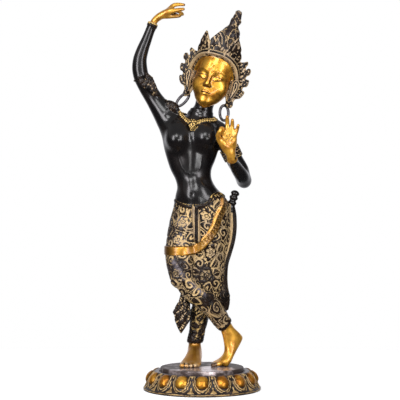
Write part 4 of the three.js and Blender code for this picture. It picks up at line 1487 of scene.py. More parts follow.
def cloth_cream(raised, points):
    """The cream on the cloth's low ground, less of it where the leg is dark."""
    dark = np.where(points[:, 2] > SHIN_Z, 0.6, 0.76) * leg_shade(points)
    return (1 - ramp(raised, 0.08, 0.42)) * (1 - dark)


def laid_relief(field, points, normals, lines, scrollwork, share):
    """The relief's height, and how much cream-gold there is, part by part."""
    height, cream = np.zeros(len(points)), np.zeros(len(points))

    def lay(name, make, tall, where_cream):
        at = share[name] > LEAST_SHARE
        if not at.any():
            return
        raised = make(points[at], normals[at])
        weight = share[name][at]
        height[at] += weight * tall * raised
        cream[at] += weight * np.clip(where_cream(raised, points[at]), 0, 1)

    lay("cloth", lambda p, n: scrollwork(p), 1.1, cloth_cream)
    lay("kerchief", lambda p, n: kerchief_pattern(p), 0.8, lambda h, p: 1 - h)
    lay("pleat", lambda p, n: strip_pattern(p, -12.6, 3.2), 0.0, lambda h, p: h)
    lay("fall", lambda p, n: fall_pattern(p), 0.0, lambda h, p: h)
    lay("collar", lambda p, n: collar_pattern(p, lines), 1.4,
        lambda h, p: 0.27 + 0.7 * ramp(h, 0.15, 0.6) + 0.12 * uneven(p))
    lay("drop", lambda p, n: drop_pattern(p), 1.0, lambda h, p: 0.2 + 0.7 * h)
    lay("lattice", lattice_pattern, 0.9, lambda h, p: 1 - h)
    lay("rim", lambda p, n: np.ones(len(p)), 0.0, lambda h, p: 0.5 * h)
    lay("crest", lambda p, n: crest_pattern(p), 0.8, lambda h, p: 0.45 * (1 - h))
    lay("hem", lambda p, n: hem_pattern(p), 0.0, lambda h, p: 0.9 * h)
    for name, pattern in field.patterns.items():
        rough = 0 if name in ("ear1", "ear-1") else 0.75
        lay(name, lambda p, n: pattern(p), 0.0,
            lambda h, p: 0.95 * (1 - ramp(0.75 * h + rough * uneven(p), 0.14, 0.6)))
    lay("topknot", lambda p, n: knot_pattern(p), 1.2,
        lambda h, p: 0.95 * (1 - ramp(0.75 * h + 0.5 * uneven(p), 0.15, 0.65)))
    lay("hair", lambda p, n: hair_pattern(p), 0.35, lambda h, p: 0.40 + 0.12 * (1 - h))
    lay("arch", lambda p, n: arch_pattern(p, lines), 0.7, lambda h, p: ramp(h, 0.3, 0.7))
    return height, cream


def sash_paint(points, lines):
    """The sash's height, cream, dark mask and deeper amber. The dark mask is the dark lines between
    the engraving, with painted shade on the plain lower part away from its painted highlight, where
    the amber is deepened as painted shade too.
    """
    border, engraved, plain = sash_pattern(points, lines)
    lines_between = ramp(0.5 - engraved, 0.1, 0.5) * (1 - plain) * (1 - border)
    away_from_painted_highlight = ramp(abs(points[:, 0] - SHINE_X), 4, 17)
    # Painted shade: the plain lower part darkens away from the painted highlight
    rubbed = np.maximum(0.24 + 0.45 * lines_between, 0.12 + 0.4 * plain * away_from_painted_highlight)
    cream = 0.75 * engraved + 0.3 * border * (1 - plain)
    # Painted shade: a deeper amber away from the painted highlight
    warm = 0.15 + 0.6 * plain * (0.3 + 0.7 * away_from_painted_highlight)
    return 0.7 * border - 0.5 * engraved, cream, rubbed, warm


def shade_and_patina_places(field, points, normals, share):
    """Where the gilding is dark: with painted shade and patina in hollows and on the raised hand's
    thumb; on the raised foot's toes; and round the flat foot's ankle, more towards its top."""
    # Painted shade and patina in hollows: dark where the surface a little way out is still close to
    # the figure
    hollow = np.clip(1 - field.sample(points + HOLLOW_REACH * normals) / HOLLOW_REACH, 0, 1)
    x, y, z = points.T
    toes = ramp(TOES[0] * x + TOES[1] * y, -31, -24) * (1 - ramp(z, 60, 66))
    # The thumb is darkened with painted shade and patina
    thumb = ramp(x, -88, -76) * (z > RAISED_HAND_Z) * (1 - ramp(z, 832, 838))
    return np.maximum.reduce([
        np.clip(hollow * 1.3, 0, 1),
        0.75 * toes * share["foot"],
        (0.1 + 0.3 * ramp(z, 92, 102)) * share["flat foot"],
        0.5 * thumb * share["hand"],
    ])


def grey_places(points, share):
    """Where a grey sheen is painted on the lacquer: the fold over the knee, two roses on the thigh,
    the legs, the topknot and the front leaf. On the hands and feet it makes the gold less like a
    mirror."""
    x, y, z = points.T
    places = [(1 - ramp(line_distance(x, z, KNEE_FOLD), 1.5, 7)) * (y < 0) * share["cloth"]]
    for px, _, pz, radius in ROSES[:2]:
        past = ramp(np.hypot(x - px, z - pz), 0.6 * radius, 1.3 * radius)
        places.append(0.8 * (1 - past) * (y < 0) * share["cloth"])
    places.append(0.08 * leg_shade(points) * share["cloth"] * (z > SHIN_Z))
    places.append(0.14 * share["topknot"] + 0.05 * share["leaf0"])
    flat_foot = (0.7 - 0.45 * ramp(z, *ANKLE)) * share["flat foot"]
    places.append(share["hand"] + share["foot"] + flat_foot)
    return np.maximum.reduce(places)


def amber_places(points, share):
    """Where the cream and the gold are a deeper amber."""
    warm = share["collar"] + share["drop"] + share["rim"] + share["hem"]
    low_leg = leg_shade(points) * (points[:, 2] < LOW_LEG_Z)
    return warm + share["cloth"] * (0.15 + 0.85 * low_leg) + 0.65 * share["flat foot"]


def decorated(field, points, normals, lines, scrollwork):
    """Height of the relief, the masks of the paint, and the parts' shares, at surface points."""
    share = part_shares(field, points)
    height, cream = laid_relief(field, points, normals, lines, scrollwork, share)
    shade_and_patina = shade_and_patina_places(field, points, normals, share)
    warm = amber_places(points, share)
    _, y, z = points.T
    cream += share["flat foot"] * 0.75 * (1 - ramp(z + 0.3 * y, 50, 66))
    at = share["sash"] > LEAST_SHARE
    sash = [share["sash"][at] * mask for mask in sash_paint(points[at], lines)]
    height[at] += sash[0]
    cream[at] += sash[1]
    shade_and_patina[at] = np.maximum(shade_and_patina[at], sash[2])
    warm[at] += sash[3]
    flower, disc = palm_pattern(points)
    height += 1.1 * flower * share["hand"]
    shade_and_patina = np.maximum(shade_and_patina, 0.62 * (1 - flower) * disc * share["hand"])
    for line in lines["face"]:
        near = np.flatnonzero((abs(points - line.mean(0)) < FACE_CUT_ROOM).all(1))
        gap = gap_to(points[near], line)
        height[near] -= 0.7 * share["face"][near] * (1 - ramp(gap, 0.3, 1.7))
        # Painted shade in the cut lines
        shade_and_patina[near] = np.maximum(shade_and_patina[near], 0.9 * (1 - ramp(gap, 0.5, 1.5)))
    masks = {
        "cream": np.clip(cream, 0, 1),
        "shade_and_patina": shade_and_patina,
        "warm": np.clip(warm, 0, 1),
        "painted_sheen_and_satin": grey_places(points, share),
    }
    return height, masks, share


def palm_pattern(points):
    """A raised flower with a ring round it, on the open palm, and the disc that they lie in."""
    x, y, z = points.T
    u, w = x - PALM_CENTRE[0], z - PALM_CENTRE[1]
    r, angle = np.hypot(u, w), np.arctan2(w, u)
    ring = groove(r - 10, 0.9)
    petals = ramp(np.cos(6 * angle + 0.5), -0.3, 0.3) * (1 - ramp(abs(r - 5.6), 1.6, 2.8))
    front = y < PALM_FRONT_Y
    flower = np.maximum.reduce([ring, petals, 1 - ramp(r, 1.2, 2.4)]) * front
    return flower, (1 - ramp(r, 11, 12.5)) * front


def kerchief_pattern(points):
    """Low uneven spots and curls on the dark kerchief."""
    x, _, z = points.T
    u, w = x + 2.4 * np.sin(0.31 * z + 0.4), z + 2.2 * np.sin(0.27 * x)
    weave = np.sin(0.72 * u) * np.sin(0.58 * w) + 0.4 * np.sin(0.33 * (u - w))
    return 1 - ramp(weave, 0.42, 0.72)


def crest_pattern(points):
    """Thin winding sunk lines on the small crests."""
    x, _, z = points.T
    wind = (np.sin(0.5 * x + 1.7 * np.sin(0.21 * z + 0.5))
            + np.sin(0.46 * z + 1.6 * np.sin(0.24 * x)))
    return ramp(abs(wind), 0.15, 0.5)


def drop_pattern(points):
    """A flower with a round heart, and small crossing lines under it, on the collar's drop."""
    x, _, z = points.T
    u, w = x - DROP_CENTRE[0], z - DROP_CENTRE[1]
    r, angle = np.hypot(u, w), np.arctan2(w, u)
    petals = ramp(np.cos(6 * angle), -0.3, 0.3) * ramp(r, 3, 4) * (1 - ramp(r, 7.5, 8.5))
    pitch = 5.6
    lattice = np.maximum(*[groove(place % pitch - pitch / 2, 0.8)
                           for place in (u + w + 3, u - w + 2)])
    return np.maximum.reduce([petals, 1 - ramp(r, 1.8, 2.6), lattice * ramp(r, 8.5, 9.5)])


def hem_pattern(points):
    """Winding cream lines on the waistband's raised side, and a plain cream edge on the cuff."""
    x, _, z = points.T
    lines = (1 - crest_pattern(points)) * ramp(x, 10, 22) * (z > SKIRT_Z)
    return np.maximum(lines, (z > RAISED_HAND_Z) * ramp(z + 0.45 * x, 763.4, 764.4))


def strip_pattern(points, middle, half):
    return ramp(abs(points[:, 0] - middle), half, half + 1.2)


FALL_LINE = [
    (65, 12, 414), (67, 8, 384), (67, 6, 355), (64, 5, 333), (56, 4, 304), (49.5, 4, 283),
    (46, 5, 254), (46.5, 7, 225), (49, 9, 203), (54, 14, 176),
]


def fall_pattern(points):
    line = curve(FALL_LINE, 4)
    outs = np.tile(unit([0.6, -0.8, 0]), (len(line), 1))
    along, across, _ = along_line(points, line, outs)[0].T
    beige = ramp(-across, 0.8, 2.2) * (1 - ramp(along, 165, 185))
    grooves = ramp(np.cos(2 * np.pi * across / 4.6), 0.72, 0.95) * 0.55
    return np.maximum(beige, grooves)


def arch_pattern(points, lines):
    """A cream line along each edge of the crown's band, and a dark hollow between them."""
    place, _ = along_line(points, *lines["arch"], closed=True)
    return ramp(abs(place[:, 1]), 2.0, 2.9)


# Meshes


def mesh_of(name, vertices, faces):
    """A mesh from arrays of vertices and of faces with the same number of corners."""
    mesh = bpy.data.meshes.new(name)
    count, corners = faces.shape
    mesh.vertices.add(len(vertices))
    mesh.loops.add(count * corners)
    mesh.polygons.add(count)
    mesh.vertices.foreach_set("co", np.ascontiguousarray(vertices, np.float32).ravel())
    mesh.loops.foreach_set("vertex_index", np.ascontiguousarray(faces, np.int32).ravel())
    mesh.polygons.foreach_set("loop_start", np.arange(0, count * corners, corners, dtype=np.int32))
    mesh.update(calc_edges=True)
    mesh.validate()
    return mesh


def halved(vertices, quads):
    """Triangles from quads, each cut along its shorter diagonal."""
    a, b, c, d = (vertices[quads[:, i]] for i in range(4))
    short = (((a - c) ** 2).sum(1) <= ((b - d) ** 2).sum(1))[:, None]
    first = np.where(short, quads[:, (0, 1, 2)], quads[:, (0, 1, 3)])
    second = np.where(short, quads[:, (0, 2, 3)], quads[:, (1, 2, 3)])
    return np.vstack([first, second])


def main_shell(vertices, quads):
    """Only the largest connected part of a mesh. Each part takes the lowest label that any of
    its faces has, until no label changes."""
    label, settled = np.arange(len(vertices)), False
    while not settled:
        lowest, face_label = label.copy(), label[quads].min(1)
        for corner in quads.T:
            np.minimum.at(lowest, label[corner], face_label)
        lowest = lowest[lowest]
        label, settled = lowest, np.array_equal(lowest, label)
    kept = label == np.bincount(label).argmax()
    index = np.cumsum(kept) - 1
    return vertices[kept], index[quads[kept[quads[:, 0]]]]


# How much of the ripple is smoothed out of each part, from 0 to 1
SOFTENED = [
    (["skin"], 1.0),
    (["cloth", "foot", "flat foot"], 0.8),
    (["throat", "hand"], 0.5),
    (["face", "sash"], 0.3),
]


def edges_of(quads):
    return np.vstack([quads[:, (i, (i + 1) % 4)] for i in range(4)])


def neighbour_mean(edges, values, weights):
    """The weighted mean of each vertex's neighbours."""
    total = len(values)
    first, second = edges.T

    def gathered(numbers):
        return (np.bincount(first, numbers[second], total)
                + np.bincount(second, numbers[first], total))

    sums = np.stack([gathered(weights * values[:, k]) for k in range(3)], 1)
    return sums / np.maximum(gathered(weights), 1e-6)[:, None]


def softened(vertices, quads, softness, rounds=12):
    """Smooths out ripples without shrinking the shape: each round moves every vertex towards the
    middle of its neighbours, then back out a little further."""
    edges = edges_of(quads)
    alike = np.ones(len(vertices))
    for step in (0.6, -0.62) * rounds:
        middle = neighbour_mean(edges, vertices, alike)
        vertices = vertices + step * softness[:, None] * (middle - vertices)
    return vertices


def vertices_of(mesh):
    made = np.zeros(len(mesh.vertices) * 3, np.float32)
    mesh.vertices.foreach_get("co", made)
    return made.reshape(-1, 3).astype(float)


def thinned(mesh, limit):
    """The same mesh with fewer triangles where it is smooth."""
    holder = bpy.data.objects.new("thinned", mesh)
    bpy.context.scene.collection.objects.link(holder)
    triangles = sum(len(p.vertices) - 2 for p in mesh.polygons)
    modifier = holder.modifiers.new("fewer", "DECIMATE")
    modifier.ratio = min(1.0, limit / triangles)
    modifier.use_collapse_triangulate = True
    graph = bpy.context.evaluated_depsgraph_get()
    made = bpy.data.meshes.new_from_object(holder.evaluated_get(graph))
    bpy.data.objects.remove(holder)
    bpy.data.meshes.remove(mesh)
    return without_folds(made)


def corners_of(mesh):
    """The vertices of each triangle."""
    made = np.zeros(len(mesh.polygons) * 3, np.int32)
    mesh.polygons.foreach_get("vertices", made)
    return made.reshape(-1, 3)


def without_folds(mesh):
    """The same mesh without the pairs of triangles that lie folded flat on each other, and
    without the points that are then left over."""
    corners = corners_of(mesh)
    _, place, uses = np.unique(np.sort(corners, 1), axis=0, return_inverse=True,
                               return_counts=True)
    kept = corners[uses[place.ravel()] == 1]
    used, kept = np.unique(kept, return_inverse=True)
    made = mesh_of("figure", vertices_of(mesh)[used], kept.reshape(-1, 3))
    bpy.data.meshes.remove(mesh)
    return made


def point_attribute(mesh, name, values):
    mesh.attributes.new(name, "FLOAT", "POINT").data.foreach_set(
        "value", np.ascontiguousarray(values, np.float32))


def facing(vertices, quads):
    """The direction that the surface faces at each vertex."""
    a, b, c, d = (vertices[quads[:, i]] for i in range(4))
    outward = np.cross(c - a, d - b)
    sums = [sum(np.bincount(quads[:, i], outward[:, k], len(vertices)) for i in range(4))
            for k in range(3)]
    return unit(np.stack(sums, 1))


def blended_from(points, directions, others, count=6):
    """Directions at other points, blended from those of the nearest few points."""
    tree = KDTree(len(points))
    for i, p in enumerate(points):
        tree.insert(p, i)
    tree.balance()
    found = [tree.find_n(p, count) for p in others]
    index = np.array([[hit[1] for hit in hits] for hits in found])
    away = np.array([[hit[2] for hit in hits] for hits in found])
    weight = 1 / (away**2 + 0.04)
    return unit((weight[..., None] * directions[index]).sum(1))


def polish(mesh, dense, quads, softness, smooth, rounds=30):
    """Gives the thinned mesh the dense one's normals where it is smooth, evened out over their
    neighbours, so that highlights run clean over it."""
    points = vertices_of(mesh)
    own = np.zeros(len(points) * 3, np.float32)
    mesh.vertex_normals.foreach_get("vector", own)
    fine, edges = facing(dense, quads), edges_of(quads)
    for _ in range(rounds):
        middle = neighbour_mean(edges, fine, softness + 0.01)
        fine = unit(fine + 0.6 * softness[:, None] * (middle - fine))
    fine = blended_from(dense, fine, points)
    weight = smooth[:, None]
    evened = unit(weight * fine + (1 - weight) * own.reshape(-1, 3))
    mesh.normals_split_custom_set_from_vertices(evened)


def paint(mesh, field, lines, scrollwork):
    """Stores the paint's masks on a mesh, and gives the parts' shares at its vertices."""
    base = field.settle(vertices_of(mesh), 2)
    _, masks, share = decorated(field, base, unit(field.slope(base)), lines, scrollwork)
    for name, values in masks.items():
        point_attribute(mesh, name, values)
    return share


def coat(mesh, share, plates):
    """Gives each triangle the material of the parts that its corners lie in."""
    groups = [DARK_PARTS, GILT_PARTS, CLOTH_PARTS + TRIM_PARTS + plates, ["steel"]]
    shares = np.stack([sum(share[n] for n in names) for names in groups], 1)
    choice = shares[corners_of(mesh)].sum(1).argmax(1)
    for material in (lacquer(), gilding(), antiqued(), steel()):
        mesh.materials.append(material)
    mesh.polygons.foreach_set("material_index", choice.astype(np.int32))


def build_figure():
    field, lines = figure_field()
    field.untangled()
    vertices, quads = main_shell(*field.meshed())
    vertices = field.settle(vertices, 1)
    softness = sum(much * field.shares(vertices, names) for names, much in SOFTENED)
    vertices = softened(vertices, quads, softness)
    normals = unit(field.slope(vertices))
    cloth, throat = (field.shares(vertices, [name]) for name in ("cloth", "throat"))
    scrollwork = Scrollwork(field, vertices[cloth > 0.5])
    height = decorated(field, vertices, normals, lines, scrollwork)[0]
    carved = vertices + height[:, None] * normals
    mesh = thinned(mesh_of("figure", carved, halved(carved, quads)), TRIANGLE_LIMIT)
    share = paint(mesh, field, lines, scrollwork)
    mesh.shade_smooth()
    plain_skin = softness * (1 - cloth) + 0.3 * throat
    polish(mesh, carved, quads, plain_skin, sum(share[n] for n in DARK_PARTS + GILT_PARTS))
    mesh.vertices.foreach_set("co", (vertices_of(mesh) * MM).astype(np.float32).ravel())
    coat(mesh, share, list(field.patterns))
    piece = bpy.data.objects.new("figure_cast", mesh)
    bpy.context.scene.collection.objects.link(piece)
    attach(piece, "root")
    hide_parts("figure")


# The lotus pedestal: rows down its outline, [radius, height, how far a petal swells there]

PETAL_PROFILE = [
    (94.5, PEDESTAL_SEAT_Z, 0), (96, 42, 0), (104, 42.4, 0.6), (112, 38.5, 2), (118, 31.5, 5),
    (121.5, 24, 6.4), (122.5, 17, 5), (124.5, 10.5, 1), (PEDESTAL_RADIUS, 5, 0),
    (PEDESTAL_RADIUS, 0, 0),
]
DOME_CENTRE = 29.5
DOME_HALF_WIDTH = 14.2
DOME_HALF_HEIGHT = 16.4
DOME_RISE = 3.8
COLUMNS_TO_A_PETAL = 40
ROW_STEP = 1.1
BOTTOM_EDGE = 0.8
HIGHEST_RELIEF = 4.2


def petal_relief(x, s, border):
    """Relief on the pedestal at x across a petal and s down its outline, with its gold and cream
    masks. `border` is how far the petal's edge is."""
    narrow = DOME_HALF_WIDTH * (1 + 0.006 * (s - DOME_CENTRE))
    round_ = (abs(x / narrow) ** 2.5 + abs((s - DOME_CENTRE) / DOME_HALF_HEIGHT) ** 2.5) ** 0.4
    dome = np.clip(1 - round_**2, 0, 1) ** 0.6
    past = np.maximum(s - DOME_CENTRE, 0)
    below = np.hypot(x, past * DOME_HALF_WIDTH / DOME_HALF_HEIGHT)
    away = below - DOME_HALF_WIDTH - 0.03 * past**1.5 * (1 - abs(x) / 20)
    tall = ramp(s, 12, 14)
    first = (1 - ramp(abs(away - 1.8), 0.7, 1.5)) * tall
    second = (1 - ramp(abs(away - 5.9), 0.6, 1.5)) * ramp(s, 24, 30) * (1 - ramp(s, 54, 56))
    stem = 1 - ramp(border - 1.4 - 0.7 * np.maximum(s - 48, 0), -0.5, 0.7)
    tip = stem * ramp(s, 40, 44) * (1 - ramp(s, 57, 58.5))
    bud = (1 - ramp(border - 3.4 + 0.3 * (s - 13), -0.5, 0.6)) * tall * (1 - ramp(s, 21, 23))
    rim = 0.8 * (1 - ramp(abs(s - 61), 0.5, 1.3))
    cream = np.clip(np.maximum.reduce([first, second, tip, bud, rim]), 0, 1)
    height = DOME_RISE * dome + 1.5 * np.maximum.reduce([first, second, 1.2 * tip, bud])
    gold = 1 - ramp(round_, 0.93, 1.02)
    return height, gold, cream * (1 - gold)


def petal_rows():
    """Even rows down the pedestal's outline, rounded at its bends but not at its base."""
    rough = np.array(PETAL_PROFILE, float)
    rows = []
    for start, end in zip(rough, rough[1:]):
        count = max(2, round(math.hypot(*(end - start)[:2]) / ROW_STEP))
        rows += [start + t * (end - start) for t in np.arange(count) / count]
    rows = np.array(rows + [rough[-1]])
    for _ in range(6):
        rows[2:-7] = 0.5 * rows[2:-7] + 0.25 * (rows[1:-8] + rows[3:-6])
    rows[-1, 0] -= BOTTOM_EDGE
    return rows


def ring_mesh(name, ringed):
    """A closed mesh through rings of points, with a flat face over the first and the last."""
    count, columns = ringed.shape[:2]
    index = np.arange(count * columns).reshape(count, columns)
    nxt = np.roll(index, -1, axis=1)
    quads = np.stack([index[:-1], index[1:], nxt[1:], nxt[:-1]], 2).reshape(-1, 4)
    faces = [*map(tuple, quads), tuple(index[0]), tuple(index[-1][::-1])]
    mesh = bpy.data.meshes.new(name)
    mesh.from_pydata((ringed.reshape(-1, 3) * MM).tolist(), [], faces)
    return mesh


def build_pedestal():
    rows = petal_rows()
    s = np.concatenate([[0], np.cumsum(np.hypot(*np.diff(rows[:, :2], axis=0).T))])[:, None]
    columns = PETALS * COLUMNS_TO_A_PETAL
    angle = 2 * np.pi * np.arange(columns) / columns
    within = (angle * PETALS / (2 * np.pi) + 0.5) % 1 - 0.5
    pitch = 2 * np.pi / PETALS
    x = within[None] * pitch * rows[:, :1]
    border = (0.5 - abs(within[None])) * pitch * rows[:, :1]
    wander = 0.5 * np.sin(0.42 * s + 9 * angle[None]) + 0.4 * np.sin(0.8 * s - 23 * angle[None])
    height, gold, cream = petal_relief(x + wander, s + wander, border + wander)
    slope = np.gradient(rows[:, :2], axis=0)
    normal = unit(np.stack([-slope[:, 1], slope[:, 0]], 1))
    shape = 0.5 * rows[:, 2:] * (2 * np.cos(np.pi * within[None]) ** 2 - 1.4)
    lift = (shape + height) * ramp(s, 4, 11) * (1 - ramp(s, 57, 61))
    reach = np.minimum(rows[:, :1] + normal[:, :1] * lift, PEDESTAL_RADIUS)
    z = np.clip(rows[:, 1:2] + normal[:, 1:] * lift, 0, PLATE_BOTTOM_Z + HIGHEST_RELIEF)
    turn = angle[None] - np.pi / 2
    mesh = ring_mesh("lotus", np.stack([reach * np.cos(turn), reach * np.sin(turn), z], 2))
    masks = {
        "gold": gold,
        "cream": cream,
        "ledge": 1 - ramp(s, 11, 13.5) + 0 * lift,
        # Painted shade round each gold dome's edge, where the dome is low
        "shade_and_patina": 1 - ramp(gold * (height / DOME_RISE), 0.25, 0.95),
    }
    for name, values in masks.items():
        point_attribute(mesh, name, values.ravel())
    mesh.materials.append(lotus_brass())
    put_in("lotus_pedestal", mesh, "lotus_base")


def put_in(name, mesh, node):
    """Shades a mesh smooth, with its real edges left sharp, and puts it in place of its node."""
    mesh.update()
    mesh.shade_smooth()
    mesh.set_sharp_from_angle(angle=math.radians(SHARP_ANGLE))
    piece = bpy.data.objects.new(name, mesh)
    bpy.context.scene.collection.objects.link(piece)
    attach(piece, "root")
    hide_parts(node)


def plate_outline():
    """[radius, height] places from the middle of the underside to the innermost ring on top."""
    outline = [(0, PLATE_BOTTOM_Z), (UNDER_RING, PLATE_BOTTOM_Z)]
    inner = PLATE_RADIUS - PLATE_EDGE
    for start, middle_z in ((-90, PLATE_BOTTOM_Z + PLATE_EDGE), (0, PLATE_TOP_Z - PLATE_EDGE)):
        for degrees in np.linspace(start, start + 90, 5):
            a = math.radians(degrees)
            outline.append((inner + PLATE_EDGE * math.cos(a), middle_z + PLATE_EDGE * math.sin(a)))
    return outline + [(r, PLATE_TOP_Z) for r in TOP_RINGS]


def build_plate():
    """The foot plate, with rounded edges and a slightly uneven rim."""
    outline, columns = plate_outline(), PLATE_COLUMNS
    rng = np.random.default_rng(3)
    waves = [(rng.integers(2, 7), rng.uniform(0, 6.28), rng.uniform(0.03, 0.07)) for _ in range(4)]
    angle = 2 * np.pi * np.arange(columns) / columns
    dent = -sum(size * (1 + np.sin(n * angle + phase)) for n, phase, size in waves)
    vertices = [(0, 0, PLATE_BOTTOM_Z * MM)]
    for r, z in outline[1:]:
        reach = r + dent * (r > PLATE_RIM)
        vertices += [tuple(p) for p in np.stack(
            [reach * np.cos(angle), reach * np.sin(angle), np.full(columns, z)], 1) * MM]
    vertices.append((0, 0, PLATE_TOP_Z * MM))
    rings = len(outline) - 1
    at = lambda i, j: 1 + i * columns + j % columns
    faces = [(0, at(0, j + 1), at(0, j)) for j in range(columns)]
    faces += [(at(i, j), at(i, j + 1), at(i + 1, j + 1), at(i + 1, j))
              for i in range(rings - 1) for j in range(columns)]
    faces += [(len(vertices) - 1, at(rings - 1, j), at(rings - 1, j + 1)) for j in range(columns)]
    mesh = bpy.data.meshes.new("plate")
    mesh.from_pydata(vertices, [], faces)
    mesh.materials.append(plate_bronze())
    put_in("foot_plate", mesh, "foot_disc")


# Materials


class Finish:
    """A material with one Principled shader, and short ways to add the nodes that feed it."""

    def __init__(self, name, **sockets):
        self.material = bpy.data.materials.new(name)
        self.material.use_nodes = True
        self.tree = self.material.node_tree
        self.shader = self.tree.nodes["Principled BSDF"]
        for socket, value in sockets.items():
            self.shader.inputs[socket.replace("_", " ")].default_value = value
        self.place = self.node("ShaderNodeTexCoord").outputs["Object"]

    def node(self, kind, inputs=None, **settings):
        made = self.tree.nodes.new(kind)
        for name, value in settings.items():
            setattr(made, name, value)
        for socket, value in (inputs or {}).items():
            self.feed(made.inputs[socket], value)
        return made

    def feed(self, socket, value):
        if isinstance(value, bpy.types.NodeSocket):
            self.tree.links.new(value, socket)
        else:
            socket.default_value = value

    def noise(self, size_mm, detail=3.0, rough=0.55):
        """Noise from 0 to 1, whose blotches are about size_mm across."""
        return self.node("ShaderNodeTexNoise", {
            "Vector": self.place, "Scale": 1000 / size_mm, "Detail": detail,
            "Roughness": rough}).outputs["Fac"]

    def swing(self, size_mm, tall):
        """Rough noise about 0, `tall` from its lowest to its highest."""
        centred = self.math("SUBTRACT", self.noise(size_mm, 3, 0.6), 0.5)
        return self.math("MULTIPLY", centred, tall)

    def span(self, value, low, high, to_low=0.0, to_high=1.0):
        """A number that goes smoothly from to_low to to_high as the value goes from low to
        high."""
        return self.node("ShaderNodeMapRange", {
            "Value": value, "From Min": low, "From Max": high, "To Min": to_low,
            "To Max": to_high}, interpolation_type="SMOOTHSTEP").outputs["Result"]

    def math(self, operation, a, b=0.0):
        return self.node("ShaderNodeMath", {0: a, 1: b}, operation=operation).outputs[0]

    def mix(self, factor, a, b):
        """A colour that goes from a to b with the factor."""
        return self.node("ShaderNodeMix", {0: factor, 6: a, 7: b}, data_type="RGBA").outputs[2]

    def blend(self, factor, a, b):
        """A number that goes from a to b with the factor."""
        return self.node("ShaderNodeMix", {0: factor, 2: a, 3: b}, data_type="FLOAT").outputs[0]

    def attribute(self, name):
        return self.node("ShaderNodeAttribute", attribute_name=name).outputs["Fac"]

    def bump(self, height, distance_mm, strength=1.0, onto=None):
        inputs = {"Height": height, "Distance": distance_mm * MM, "Strength": strength}
        if onto is not None:
            inputs["Normal"] = onto
        return self.node("ShaderNodeBump", inputs).outputs["Normal"]

    def set(self, socket, value):
        self.feed(self.shader.inputs[socket], value)


def colour(red, green, blue):
    return (red, green, blue, 1.0)


BLACK = colour(0.0032, 0.0028, 0.0030)
BROWN_BLACK = colour(0.016, 0.0095, 0.0065)
GOLD = colour(0.71, 0.37, 0.042)
DEEP_GOLD = colour(0.36, 0.135, 0.012)
# Near-black brown for painted shade and patina in the gilding's hollows, and for painted shade round
# the pedestal's domes
GOLD_SHADE_AND_PATINA = colour(0.045, 0.018, 0.006)
CREAM = colour(0.50, 0.36, 0.185)
CREAM_DARK = colour(0.30, 0.19, 0.075)


def lacquer():
    """Black lacquer over brass, with a faint brown cast where it is thin."""
    f = Finish("black_lacquer", Metallic=0.0)
    blotch = f.span(f.noise(38, 4), 0.35, 0.75)
    thin = f.mix(blotch, BLACK, colour(0.008, 0.0056, 0.005))
    speck = f.span(f.noise(1.3, 3, 0.7), 0.66, 0.74, 0.0, 0.15)
    f.set("Base Color", f.mix(speck, thin, BROWN_BLACK))
    f.set("Roughness", f.span(f.noise(22, 4), 0.3, 0.75, 0.19, 0.28))
    soft = f.bump(f.noise(14, 2), 0.06, 0.3)
    f.set("Normal", f.bump(f.noise(1.1, 2), 0.004, 0.5, soft))
    return f.material


def gilding():
    """Polished gilding, deeper where it is thin, and darkened in the creases by painted shade and
    patina.
    """
    f = Finish("polished_gold", Coat_Weight=0.5, Coat_Roughness=0.16)
    blotch = f.span(f.noise(17, 5, 0.6), 0.36, 0.72)
    fresh = f.mix(f.attribute("warm"), f.mix(blotch, GOLD, DEEP_GOLD), colour(0.40, 0.175, 0.020))
    speck = f.span(f.noise(2.2, 4, 0.65), 0.62, 0.74, 0.0, 0.3)
    shade_and_patina = f.attribute("shade_and_patina")
    # Painted shade and patina in creases and hollows, with dark specks of dirt, take the gold
    # towards near-black brown
    crease = f.math("MINIMUM", f.math("ADD", f.span(shade_and_patina, 0.2, 0.85), speck), 1.0)
    pale = f.math("MULTIPLY", f.attribute("cream"), f.span(f.noise(7, 3), 0.3, 0.6))
    rubbed = f.mix(pale, fresh, colour(0.44, 0.335, 0.20))
    f.set("Base Color", f.mix(crease, rubbed, GOLD_SHADE_AND_PATINA))
    # On the gilding the sheen mask only makes the hands and feet less metallic; it paints no colour
    # here
    f.set("Metallic", f.blend(pale, f.blend(f.attribute("painted_sheen_and_satin"), 0.97, 0.64), 0.5))
    rough = f.span(f.noise(11, 4), 0.3, 0.7, 0.3, 0.42)
    f.set("Roughness", f.math("ADD", rough, f.math("MULTIPLY", shade_and_patina, 0.2)))
    soft = f.bump(f.noise(9, 2), 0.04, 0.3)
    f.set("Normal", f.bump(f.noise(0.9, 3), 0.005, 0.5, soft))
    return f.material


